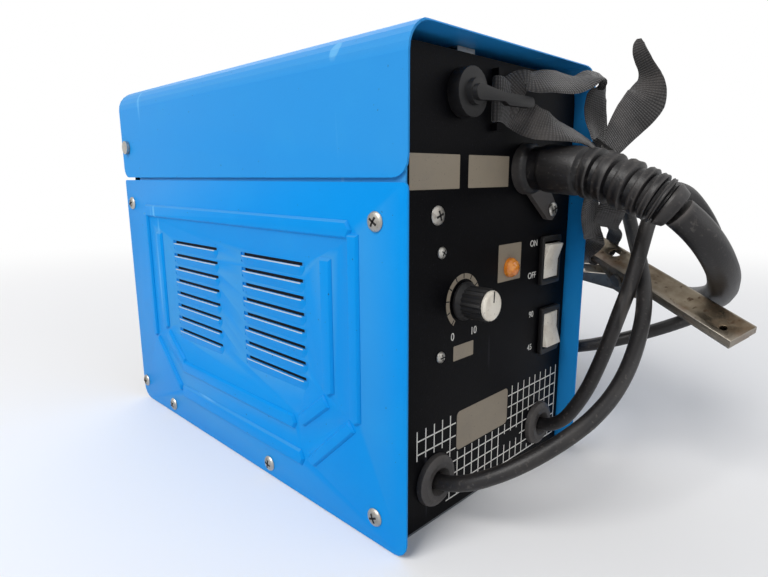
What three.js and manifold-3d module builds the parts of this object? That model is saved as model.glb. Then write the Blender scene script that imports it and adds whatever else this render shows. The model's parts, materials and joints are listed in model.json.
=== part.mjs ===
// A portable gasless MIG welder: a sheet-steel case with a hinged lid, its power and wire-feed works
// inside, and the torch lead, earth lead, mains lead and a webbing strap at the front.
// Millimetres. The origin is the middle of the underside, the front faces -Y and +Z is up.
import * as THREE from "three";
import { mergeVertices } from "three/addons/utils/BufferGeometryUtils.js";
import Module from "manifold-3d";

const wasm = await Module();
wasm.setup();

// ---------------------------------------------------------------- driving dimensions
const WIDTH = 190;
const LENGTH = 336;
const HEIGHT = 275;
const SHEET = 1.2; // steel sheet
const GAP = 0.3; // left between pieces that touch
const SEAM = 203; // lower edge of the lid
const SIDE_TOP = 200.8; // upper edge of the side panels' outer skin
const LIP_TOP = 222; // the side panels' joggled lips reach this high inside the lid
const SETBACK = 13; // the end panels sit this far inside the case ends
const LID_BEND = 16; // outer radius of the lid's long folds
const PIVOT = [157, 228]; // lid pivot screws, Y and Z
const SCREW_HEAD = 5.5; // radius of a case screw's head

const SIDE = WIDTH / 2;
const END = LENGTH / 2;
const FRONT = -(END - SETBACK); // outer face of the front panel
const REAR = END - SETBACK; // outer face of the rear panel
const DIVIDER = -2; // left face of the divider panel
const PANEL_HALF = SIDE - 3.4;
const PANEL_TOP = HEIGHT - 5;

const DIAL = [-32, 132]; // X and Z on the front panel
const LAMP = [16, 146];
const MAINS_SWITCH = [65, 146];
const RANGE_SWITCH = [69, 95];
const BEZEL = [25, 34];
const ROCKER = [19, 24];
const ROCKER_TILT = 9; // degrees from level, either way
const LATCH = [-38, 247];
const OUTLET = [29, 207.6];
const EARTH_GROMMET = [-56.4, 28];
const MAINS_GROMMET = [61, 25];

const MAINS_DIAMETER = 9.5;
const EARTH_DIAMETER = 9.5;
const HOSE_DIAMETER = 17.5;
const STRAP_WIDTH = 25;
const STRAP_THICK = 1.6;

const WIRE_HEIGHT = OUTLET[1]; // the welding wire runs along Y at this height
const DRIVE_RADIUS = 15;
const PRESSURE_RADIUS = 11;
const FEED_Y = -92; // the rollers' place along the case
const SPOOL = { x: 8, y: 42, z: 172, radius: 50, width: 44 };
const FAN = { x: -44, z: 60, radius: 36 };

// ---------------------------------------------------------------- materials
const steel = (color, roughness = 0.45) =>
  new THREE.MeshStandardMaterial({ color, roughness, metalness: 0.8 });
const plain = (color, roughness = 0.6) =>
  new THREE.MeshStandardMaterial({ color, roughness, metalness: 0 });
const BLUE = 0x1b86dc;
const BLACK = 0x15161a;
const ZINC = 0xb9bab6;

// ---------------------------------------------------------------- solids
// A closed geometry as a solid that can be joined or cut.
function solid(geometry) {
  const bare = geometry.clone();
  bare.deleteAttribute("normal");
  bare.deleteAttribute("uv");
  const merged = mergeVertices(bare, 1e-4);
  return new wasm.Manifold(
    new wasm.Mesh({
      numProp: 3,
      vertProperties: new Float32Array(merged.attributes.position.array),
      triVerts: new Uint32Array(merged.index.array),
    }),
  );
}

function geometryOf(made) {
  const mesh = made.getMesh();
  const geometry = new THREE.BufferGeometry();
  geometry.setAttribute("position", new THREE.BufferAttribute(mesh.vertProperties, 3));
  geometry.setIndex(new THREE.BufferAttribute(mesh.triVerts, 1));
  geometry.computeVertexNormals();
  return geometry;
}

const join = (...parts) => geometryOf(parts.map(solid).reduce((all, next) => all.add(next)));

const cut = (whole, ...tools) =>
  geometryOf(tools.map(solid).reduce((left, tool) => left.subtract(tool), solid(whole)));

function box(x0, x1, y0, y1, z0, z1) {
  const geometry = new THREE.BoxGeometry(x1 - x0, y1 - y0, z1 - z0);
  return geometry.translate((x0 + x1) / 2, (y0 + y1) / 2, (z0 + z1) / 2);
}

// Turns local +Z to run along an axis. The outline's two directions are then Y and Z for "x",
// X and Z for "y", and X and Y for "z".
function towards(axis) {
  const turn = new THREE.Matrix4();
  if (axis === "x") turn.set(0, 0, 1, 0, 1, 0, 0, 0, 0, 1, 0, 0, 0, 0, 0, 1);
  if (axis === "y") turn.set(1, 0, 0, 0, 0, 0, -1, 0, 0, 1, 0, 0, 0, 0, 0, 1);
  return turn;
}

// An outline extruded along an axis between two places on it.
function prism(axis, outline, from, to, bevel = 0) {
  const shape = new THREE.Shape(outline.map(([u, v]) => new THREE.Vector2(u, v)));
  const geometry = new THREE.ExtrudeGeometry(shape, {
    depth: to - from - 2 * bevel,
    bevelEnabled: bevel > 0,
    bevelThickness: bevel,
    bevelSize: bevel,
    bevelOffset: -bevel,
    bevelSegments: 1,
  });
  geometry.translate(0, 0, bevel).applyMatrix4(towards(axis));
  const start = axis === "y" ? to : from;
  return geometry.translate(axis === "x" ? start : 0, axis === "y" ? start : 0, axis === "z" ? start : 0);
}

const circle = (u, v, radius, sides = 20) =>
  Array.from({ length: sides }, (_, i) => {
    const angle = (i / sides) * 2 * Math.PI;
    return [u + radius * Math.cos(angle), v + radius * Math.sin(angle)];
  });

const rod = (axis, u, v, radius, from, to, sides = 20) =>
  prism(axis, circle(u, v, radius, sides), from, to);

// An outline whose corners [u, v, radius] are rounded by arcs.
function rounded(corners, steps = 4) {
  const outline = [];
  corners.forEach(([u, v, radius], i) => {
    if (!radius) return outline.push([u, v]);
    const at = new THREE.Vector2(u, v);
    const before = corners[(i + corners.length - 1) % corners.length];
    const after = corners[(i + 1) % corners.length];
    const a = new THREE.Vector2(before[0] - u, before[1] - v).normalize();
    const b = new THREE.Vector2(after[0] - u, after[1] - v).normalize();
    const half = Math.acos(THREE.MathUtils.clamp(a.dot(b), -1, 1)) / 2;
    const centre = a.clone().add(b).normalize().multiplyScalar(radius / Math.sin(half)).add(at);
    const start = a.multiplyScalar(radius / Math.tan(half)).add(at).sub(centre);
    const end = b.multiplyScalar(radius / Math.tan(half)).add(at).sub(centre);
    const sweep = Math.atan2(start.cross(end), start.dot(end));
    for (let k = 0; k <= steps; k++) {
      const point = start.clone().rotateAround(new THREE.Vector2(), (sweep * k) / steps);
      outline.push([centre.x + point.x, centre.y + point.y]);
    }
  });
  return outline;
}

// A [radius, height] profile turned about an axis through u, v.
function turned(axis, u, v, profile, sides = 24) {
  const points = profile.map(([r, h]) => new THREE.Vector2(r, h));
  const geometry = new THREE.LatheGeometry(points, sides).rotateX(Math.PI / 2);
  if (axis === "x") return geometry.rotateY(Math.PI / 2).translate(0, u, v);
  if (axis === "y") return geometry.rotateX(Math.PI / 2).translate(u, 0, v);
  return geometry.translate(u, v, 0);
}

// A skin over rings of points, closed by a flat fan at each end, or back on itself.
function loft(rings, closed = false) {
  const around = rings[0].length;
  const faces = [];
  const spans = closed ? rings.length : rings.length - 1;
  for (let i = 0; i < spans; i++)
    for (let j = 0; j < around; j++) {
      const a = i * around + j;
      const b = i * around + ((j + 1) % around);
      const c = (((i + 1) % rings.length) * around) + ((j + 1) % around);
      const d = (((i + 1) % rings.length) * around) + j;
      faces.push(a, b, c, a, c, d);
    }
  const last = (rings.length - 1) * around;
  for (let j = 1; j < around - 1 && !closed; j++) faces.push(0, j + 1, j, last, last + j, last + j + 1);
  const points = rings.flat();
  let volume = 0;
  for (let i = 0; i < faces.length; i += 3)
    volume += points[faces[i]].dot(points[faces[i + 1]].clone().cross(points[faces[i + 2]]));
  if (volume < 0) faces.reverse();
  const geometry = new THREE.BufferGeometry().setFromPoints(points);
  geometry.setIndex(faces);
  geometry.computeVertexNormals();
  return geometry;
}

const vectors = (points) => points.map(([x, y, z]) => new THREE.Vector3(x, y, z));

const route = (points) => new THREE.CatmullRomCurve3(vectors(points), false, "centripetal");

// A plain tube along a route.
function tube(points, diameter, sides = 10) {
  const curve = route(points);
  const steps = Math.min(80, Math.ceil(curve.getLength() / (2 * diameter)));
  const shape = new THREE.Shape(
    circle(0, 0, diameter / 2, sides).map(([u, v]) => new THREE.Vector2(u, v)),
  );
  return new THREE.ExtrudeGeometry(shape, { steps, bevelEnabled: false, extrudePath: curve });
}

// Round rings at stations [share of the route, radius] along a route.
function sweep(points, stations, sides) {
  const curve = route(points);
  const fine = 200;
  const frames = curve.computeFrenetFrames(fine, false);
  return loft(
    stations.map(([share, radius]) => {
      const index = Math.round(share * fine);
      const centre = curve.getPointAt(share);
      return circle(0, 0, radius, sides).map(([a, b]) =>
        centre.clone().addScaledVector(frames.normals[index], a).addScaledVector(frames.binormals[index], b),
      );
    }),
  );
}

// A flat band through points [x, y, z, wx, wy, wz], where w is the direction across its width.
// A seventh number narrows it there, as where webbing bunches.
function band(points, width, thickness, steps, closed = false) {
  const spans = closed ? points.length : points.length - 1;
  const narrow = (t) => {
    const at = Math.min(Math.floor(t * spans), spans - 1);
    const next = points[(at + 1) % points.length];
    return THREE.MathUtils.lerp(points[at][6] ?? 1, next[6] ?? 1, t * spans - at);
  };
  const middle = new THREE.CatmullRomCurve3(vectors(points), closed, "centripetal");
  const across = new THREE.CatmullRomCurve3(
    points.map(([, , , x, y, z]) => new THREE.Vector3(x, y, z).normalize()),
    closed,
    "centripetal",
  );
  const rings = [];
  const count = closed ? steps : steps + 1;
  for (let i = 0; i < count; i++) {
    const t = i / steps;
    const centre = middle.getPoint(t);
    const along = middle.getTangent(t);
    const w = across.getPoint(t).addScaledVector(along, -across.getPoint(t).dot(along)).normalize();
    const n = along.clone().cross(w).normalize();
    const half = (width / 2) * narrow(t);
    const corner = (a, b) =>
      centre.clone().addScaledVector(w, a * half).addScaledVector(n, (b * thickness) / 2);
    rings.push([corner(-1, -1), corner(1, -1), corner(1, 1), corner(-1, 1)]);
  }
  return loft(rings, closed);
}

// ---------------------------------------------------------------- the assembly
const welder = new THREE.Group();

function add(name, geometry, material, parent = welder) {
  const mesh = new THREE.Mesh(geometry, material);
  mesh.name = name;
  parent.add(mesh);
  return mesh;
}

// ---------------------------------------------------------------- casing
// The outline of a side panel or of the lid's side, corners rounded.
const SIDE_OUTLINE = rounded([
  [-END, 0.4, 9],
  [END, 0.4, 12],
  [END, SIDE_TOP, 2],
  [-END, SIDE_TOP, 3],
]);

// A pressed rib between two ends on a side panel, as a raised bar with bevelled edges.
function rib([y0, z0], [y1, z1], width) {
  const along = new THREE.Vector2(y1 - y0, z1 - z0).normalize();
  const a = [-along.y * (width / 2), along.x * (width / 2)];
  const tip = 3;
  const outline = [
    [y0 + a[0], z0 + a[1]],
    [y0 - a[0], z0 - a[1]],
    [y1 - a[0] - along.x * tip, z1 - a[1] - along.y * tip],
    [y1, z1],
    [y1 + a[0] - along.x * tip, z1 + a[1] - along.y * tip],
  ];
  return prism("x", outline, -SIDE - 1.8, -SIDE + 2.0, 1.4);
}

// One louvre: the sheet below the slit is pushed inwards, leaving a narrow opening at its top.
const LOUVRE = { length: 69.5, slit: 2.4, drop: 6.6, depth: 3.4, pitch: 10.2, top: 154.3, rows: 8 };

function louvreWell(y, z) {
  const cap = 3;
  const mouth = [
    [y, z],
    [y + LOUVRE.length, z],
    [y + LOUVRE.length, z - LOUVRE.drop],
    [y + cap, z - LOUVRE.drop],
  ];
  return prism("x", mouth, -SIDE - 1, -SIDE + SHEET * 0.6);
}

const louvreSlit = (y, z) =>
  box(-SIDE - 1, -SIDE + 8, y + 3, y + LOUVRE.length - 3, z - LOUVRE.slit, z - 0.3);

function sideShell() {
  const skin = prism("x", SIDE_OUTLINE, -SIDE, -SIDE + SHEET);
  const step = box(-SIDE + SHEET * 0.9, -SIDE + 3, -END + 3, END - 3, SIDE_TOP - 1.4, SIDE_TOP - 0.2);
  const lip = box(-SIDE + 1.8, -SIDE + 3, -END + 3, REAR - 14, SIDE_TOP - 1.4, LIP_TOP);
  return join(skin, step, lip);
}

function leftSidePanel() {
  let shell = sideShell();
  const ribs = [];
  ribs.push(rib([129, 176], [-128.6, 176], 10));
  for (const side of [-1, 1]) {
    ribs.push(rib([side * 129.5, 174], [side * 129.5, 66], 9));
    ribs.push(rib([side * 126.6, 65], [side * 86.5, 27.3], 8));
    ribs.push(rib([side * 106.5, 159], [side * 106.5, 77], 10));
    ribs.push(rib([side * 104.5, 73.7], [side * 77, 51.8], 9));
  }
  ribs.push(rib([84, 27.7], [-81, 27.7], 11));
  ribs.push(rib([83, 50.2], [-74, 50.2], 10));
  const cuts = [];
  for (let row = 0; row < LOUVRE.rows; row++)
    for (const y of [-87, 13]) {
      const z = LOUVRE.top - row * LOUVRE.pitch;
      cuts.push(louvreWell(y, z), louvreSlit(y, z));
    }
  shell = join(shell, ...ribs);
  return cut(shell, ...cuts, rod("x", PIVOT[0], PIVOT[1], 3, -SIDE, -SIDE + 8, 12));
}

function casing() {
  const floor = box(-SIDE + 3, SIDE - 3, REAR * -1 + 0.4, REAR - 0.4, 0, SHEET);
  const rims = [];
  for (const side of [-1, 1]) {
    const x = side * (SIDE - 2.4);
    rims.push(box(x - 0.6, x + 0.6, -REAR + 1.6, REAR - 1.6, 0, 22));
  }
  for (const side of [-1, 1]) {
    const y = side * (REAR - 2.2);
    rims.push(box(-SIDE + 3, SIDE - 3, y - 0.6, y + 0.6, 0, 12));
  }
  add("base_pan", join(floor, ...rims), steel(0x70757a));
  add("left_side_panel", leftSidePanel(), plain(BLUE, 0.35));
  const right = cut(sideShell(), rod("x", PIVOT[0], PIVOT[1], 3, -SIDE, -SIDE + 8, 12));
  const mirrored = geometryOf(solid(right).mirror([1, 0, 0]));
  add("right_side_panel", mirrored, plain(BLUE, 0.35));

  const front = prism(
    "y",
    rounded([
      [-PANEL_HALF, 1.6, 0],
      [PANEL_HALF, 1.6, 0],
      [PANEL_HALF, PANEL_TOP - 2, LID_BEND],
      [-PANEL_HALF, PANEL_TOP - 2, LID_BEND],
    ]),
    FRONT,
    FRONT + SHEET,
  );
  const through = (u, v, radius) => rod("y", u, v, radius, FRONT - 5, FRONT + 5, 20);
  const windowAt = ([x, z]) => box(x - 11.2, x + 11.2, FRONT - 5, FRONT + 5, z - 14.2, z + 14.2);
  add(
    "front_panel",
    cut(
      front,
      through(...DIAL, 4),
      through(...LAMP, 5),
      through(...LATCH, 4.6),
      through(...OUTLET, 9),
      through(...EARTH_GROMMET, 11),
      through(...MAINS_GROMMET, 11),
      windowAt(MAINS_SWITCH),
      windowAt(RANGE_SWITCH),
    ),
    plain(BLACK, 0.35),
  );

  const vents = [];
  for (let i = 0; i < 7; i++) {
    const z = FAN.z - 27 + i * 9;
    const half = Math.sqrt(Math.max(0, 33 ** 2 - (z - FAN.z) ** 2));
    vents.push(box(FAN.x - half, FAN.x + half, REAR - 5, REAR + 5, z - 2.2, z + 2.2));
  }
  const back = prism(
    "y",
    rounded([
      [-PANEL_HALF, 1.6, 0],
      [PANEL_HALF, 1.6, 0],
      [PANEL_HALF, PANEL_TOP - 2, LID_BEND],
      [-PANEL_HALF, PANEL_TOP - 2, LID_BEND],
    ]),
    REAR - SHEET,
    REAR,
  );
  add("rear_panel", cut(back, ...vents), plain(BLACK, 0.35));

  const wall = box(DIVIDER, DIVIDER + SHEET, FRONT + 4, REAR - 4, 3, LIP_TOP);
  const foot = box(DIVIDER, DIVIDER + 14, FRONT + 4, REAR - 4, SHEET + GAP, 3.4);
  add(
    "divider_panel",
    cut(
      join(wall, foot),
      rod("x", FEED_Y, WIRE_HEIGHT - DRIVE_RADIUS - 0.6, 5, DIVIDER - 2, DIVIDER + 4, 16),
      rod("x", SPOOL.y, SPOOL.z, 5, DIVIDER - 2, DIVIDER + 4, 16),
      box(DIVIDER - 2, DIVIDER + 4, -40, 0, 60, 84),
    ),
    steel(0x8d9296),
  );
}

// ---------------------------------------------------------------- lid
function lid() {
  const rearCorner = 8;
  const side = rounded([
    [-END, SEAM, 10],
    [END, SEAM, rearCorner],
    [END, HEIGHT, rearCorner],
    [-END, HEIGHT, 2],
  ]);
  const block = prism("x", side, -SIDE, SIDE);
  const hood = (inset, low) =>
    prism(
      "y",
      rounded([
        [-SIDE + inset, low, 0],
        [SIDE - inset, low, 0],
        [SIDE - inset, HEIGHT - inset, LID_BEND - inset],
        [-SIDE + inset, HEIGHT - inset, LID_BEND - inset],
      ], 6),
      -END - 5,
      END + 5,
    );
  const outer = solid(block).intersect(solid(hood(0, SEAM - 1)));
  const shell = outer.subtract(solid(hood(SHEET, SEAM - 20)));
  add("lid", cut(geometryOf(shell), rod("x", ...PIVOT, 3, -SIDE - 5, SIDE + 5, 12)), plain(BLUE, 0.35));

  // a folded keeper under the top, which the latch cam holds down
  const x = LATCH[0] + 15;
  const top = HEIGHT - SHEET - GAP;
  const flange = box(x - 8, x + 8, FRONT + 8.8, FRONT + 24, top - 1.2, top);
  const plate = box(x - 8, x + 8, FRONT + 8.8, FRONT + 10, LATCH[1] - 9, top);
  const hook = box(x - 8, x + 8, FRONT + 3.4, FRONT + 9, LATCH[1] - 9, LATCH[1] - 7.8);
  add("lid_keeper", join(flange, plate, hook), steel(ZINC));
  for (const [name, side] of [["left", -1], ["right", 1]]) {
    const at = (near, far) => (side < 0 ? [-SIDE - far, -SIDE - near] : [SIDE + near, SIDE + far]);
    const head = rod("x", ...PIVOT, SCREW_HEAD, ...at(GAP, 2.6), 16);
    const shank = rod("x", ...PIVOT, 2.6, ...at(-3.2, 1), 12);
    add(`lid_pivot_screw_${name}`, join(head, shank), steel(ZINC));
  }
}

// ---------------------------------------------------------------- front panel fittings
function grommet(name, [x, z]) {
  const ring = turned("y", x, z, [
    [5.4, -FRONT - 3],
    [10.6, -FRONT - 3],
    [10.6, -FRONT + GAP],
    [16, -FRONT + GAP],
    [15.4, -FRONT + 3.2],
    [12, -FRONT + 5.2],
    [8.6, -FRONT + 5.2],
    [5.4, -FRONT + 1],
    [5.4, -FRONT - 3],
  ]);
  add(name, ring, plain(0x101113, 0.8));
}

function latch() {
  const [x, z] = LATCH;
  const boss = rod("y", x, z, 13, FRONT - 8, FRONT - GAP, 24);
  const neck = rod("y", x, z, 7, FRONT - 11.4, FRONT - 7, 16);
  const lever = prism(
    "y",
    rounded([
      [x - 6, z - 5, 4],
      [x + 20, z - 3.6, 2],
      [x + 25, z - 5.5, 2],
      [x + 51, z - 5, 3],
      [x + 51, z + 1, 3],
      [x + 25, z + 1, 2],
      [x + 20, z + 1, 2],
      [x - 6, z + 4, 4],
    ]),
    FRONT - 14.5,
    FRONT - 11,
  );
  const shaft = rod("y", x, z, 4, FRONT - 1, FRONT + 8, 16);
  add("latch_handle", join(boss, neck, lever, shaft), plain(0x2a2b2e, 0.5));
  const blade = prism(
    "y",
    rounded([[x - 5, z - 7, 3], [x + 5, z - 7, 3], [x + 4, z + 20, 2], [x - 4, z + 20, 2]]),
    FRONT + 4.6,
    FRONT + 6.6,
  );
  add("latch_cam", cut(blade, rod("y", x, z, 4.2, FRONT, FRONT + 9, 16)), steel(ZINC));
}

function dial() {
  const [x, z] = DIAL;
  const flutes = 20;
  const ribbed = Array.from({ length: flutes * 2 }, (_, i) => {
    const angle = (i / (flutes * 2)) * 2 * Math.PI;
    const radius = i % 2 ? 8.9 : 9.7;
    return [x + radius * Math.cos(angle), z + radius * Math.sin(angle)];
  });
  const skirt = turned("y", x, z, [
    [0, -FRONT + 1],
    [11.5, -FRONT + 1],
    [11.5, -FRONT + 2.4],
    [9.4, -FRONT + 5],
    [0, -FRONT + 5],
  ]);
  const body = prism("y", ribbed, FRONT - 18, FRONT - 4);
  const bore = rod("y", x, z, 3.2, FRONT - 12, FRONT, 16);
  add("dial_knob", cut(join(skirt, body), bore), plain(BLACK, 0.5));
  const cap = turned("y", x, z, [
    [0, -FRONT + 18.3],
    [8.8, -FRONT + 18.3],
    [8.8, -FRONT + 20],
    [7.8, -FRONT + 21],
    [0, -FRONT + 21],
  ]);
  add("dial_cap", cap, plain(0xe4dccb, 0.4));
  const shaft = rod("y", x, z, 3, FRONT - 10, FRONT + 3, 16);
  const can = rod("y", x, z, 9, FRONT + 2.4, FRONT + 14, 20);
  const lugs = box(x - 6, x + 6, FRONT + 8, FRONT + 9, z - 15, z - 8);
  add("potentiometer", join(shaft, can, lugs), steel(0x9a9c9e));
}

function rockerSwitch(name, [x, z], tilt) {
  const [wide, tall] = [BEZEL[0] / 2, BEZEL[1] / 2];
  const flange = prism(
    "y",
    rounded([
      [x - wide, z - tall, 2],
      [x + wide, z - tall, 2],
      [x + wide, z + tall, 2],
      [x - wide, z + tall, 2],
    ], 3),
    FRONT - 3.4,
    FRONT - GAP,
  );
  const body = box(x - 10.8, x + 10.8, FRONT - 1, FRONT + 16, z - 13.8, z + 13.8);
  const well = box(
    x - ROCKER[0] / 2 - 0.5, x + ROCKER[0] / 2 + 0.5,
    FRONT - 6, FRONT + 13, z - ROCKER[1] / 2 - 1, z + ROCKER[1] / 2 + 1,
  );
  add(`${name}_bezel`, cut(join(flange, body), well), plain(BLACK, 0.45));
  // the rocker turns about its middle, so its section is a shallow V seen from the side
  const half = ROCKER[1] / 2;
  const outline = [
    [FRONT + 5, z - half * 0.5],
    [FRONT + 5, z + half * 0.5],
    [FRONT - 1, z + half],
    [FRONT - 5, z + half],
    [FRONT - 3.2, z],
    [FRONT - 5, z - half],
    [FRONT - 1, z - half],
  ];
  const rocker = prism("x", outline.reverse(), x - ROCKER[0] / 2, x + ROCKER[0] / 2);
  rocker.translate(0, -FRONT, -z).rotateX(THREE.MathUtils.degToRad(tilt)).translate(0, FRONT, z);
  add(`${name}_rocker`, rocker, plain(0xf1ebe0, 0.35));
}

function frontFittings() {
  grommet("earth_grommet", EARTH_GROMMET);
  grommet("mains_grommet", MAINS_GROMMET);
  latch();
  dial();
  rockerSwitch("mains_switch", MAINS_SWITCH, ROCKER_TILT);
  rockerSwitch("range_switch", RANGE_SWITCH, -ROCKER_TILT);
  const [x, z] = LAMP;
  const lamp = turned("y", x, z, [
    [0, -FRONT - 8],
    [4.6, -FRONT - 8],
    [4.6, -FRONT + GAP],
    [6.4, -FRONT + GAP],
    [6.2, -FRONT + 2.6],
    [4.6, -FRONT + 5],
    [2.4, -FRONT + 6.1],
    [0, -FRONT + 6.4],
  ]);
  add("thermal_lamp", lamp, plain(0xd9851c, 0.3));
  const y = FRONT;
  const feet = [
    box(-10, -5, y - 4.4, y - GAP, 229, 233),
    box(-10, -5, y - 4.4, y - GAP, 259, 263),
  ];
  add("strap_bracket", join(...feet, box(-9, -6.5, y - 4.5, y - 3.4, 230, 262)), steel(0x2b2c2e));
}

// ---------------------------------------------------------------- power works
function transformer() {
  const [x0, x1, y0, y1, z0, z1] = [-70, -30, -52, 52, 1.6, 86];
  const limb = 17;
  const windows = [-1, 1].map((side) =>
    side < 0
      ? box(x0 - 1, x1 + 1, y0 + limb, -limb, z0 + 18, z1 - 16)
      : box(x0 - 1, x1 + 1, limb, y1 - limb, z0 + 18, z1 - 16),
  );
  add("transformer_core", cut(box(x0, x1, y0, y1, z0, z1), ...windows), steel(0x55575a, 0.7));
  const winding = (low, high, grow) => {
    const outline = rounded([
      [x0 - 12 - grow, -34.4, 5],
      [x1 + 12 + grow, -34.4, 5],
      [x1 + 12 + grow, 34.4, 5],
      [x0 - 12 - grow, 34.4, 5],
    ]);
    const hole = box(x0 - 0.5, x1 + 0.5, -limb - 0.5, limb + 0.5, low - 1, high + 1);
    return cut(prism("z", outline, low, high), hole);
  };
  add("primary_winding", winding(20.2, 43, 0), plain(0x8a3b1c, 0.5));
  add("secondary_winding", winding(44, 69, 2), plain(0xb3622d, 0.5));

  const fins = [];
  for (let i = 0; i < 8; i++) fins.push(box(-84 + i * 9, -81.5 + i * 9, 70, 108, 16, 50));
  add("rectifier_heatsink", join(box(-84, -18.5, 70, 108, 1.6, 18), ...fins), steel(0xb4b7ba));

  const board = box(-13.6, -12, 10, 120, 112, 200);
  const parts = [
    box(-32, -13, 20, 44, 120, 142),
    box(-28, -13, 50, 68, 120, 150),
    box(-22, -13, 78, 110, 124, 136),
    box(-24, -13, 24, 60, 165, 180),
  ];
  const posts = [[16, 118], [16, 194], [114, 118], [114, 194]].map(([y, z]) =>
    rod("x", y, z, 2.5, -12.8, DIVIDER - GAP, 8),
  );
  add("circuit_board", join(board, ...parts, ...posts), plain(0x1d6b3a, 0.6));
}

function fan() {
  const { x, z, radius } = FAN;
  const duct = rod("y", x, z, radius + 2, REAR - 40, REAR - 1, 32);
  const frame = box(x - 40, x + 40, REAR - 27, REAR - SHEET - GAP, z - 40, z + 40);
  const spokes = [0, 1].map((turn) => {
    const bar = box(-radius - 3, radius + 3, REAR - 8, REAR - 5.5, -2.5, 2.5);
    return bar.rotateY(turn * (Math.PI / 2)).translate(x, 0, z);
  });
  const motor = rod("y", x, z, 13, REAR - 15, REAR - 5.5, 20);
  add("fan_frame", join(cut(frame, duct), ...spokes, motor), plain(0x1b1c1e, 0.6));
  const blades = [rod("y", x, z, 12, REAR - 25, REAR - 16, 20)];
  for (let i = 0; i < 7; i++) {
    const blade = box(-4, 4, -0.8, 0.8, 8, radius - 1.5);
    blade.rotateZ(THREE.MathUtils.degToRad(38));
    blade.rotateY((i / 7) * 2 * Math.PI);
    blades.push(blade.translate(x, REAR - 20.5, z));
  }
  add("fan_rotor", join(...blades), plain(0x26282b, 0.5));
}

// ---------------------------------------------------------------- wire feed
const DRIVE_AXIS = [FEED_Y, WIRE_HEIGHT - DRIVE_RADIUS - 0.6];
const PRESSURE_AXIS = [FEED_Y, WIRE_HEIGHT + PRESSURE_RADIUS + 0.6];
const ARM_PIVOT = [FEED_Y + 26, 222];
const TENSION = [FEED_Y - 24, 190]; // foot of the tension screw, Y and Z

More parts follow.
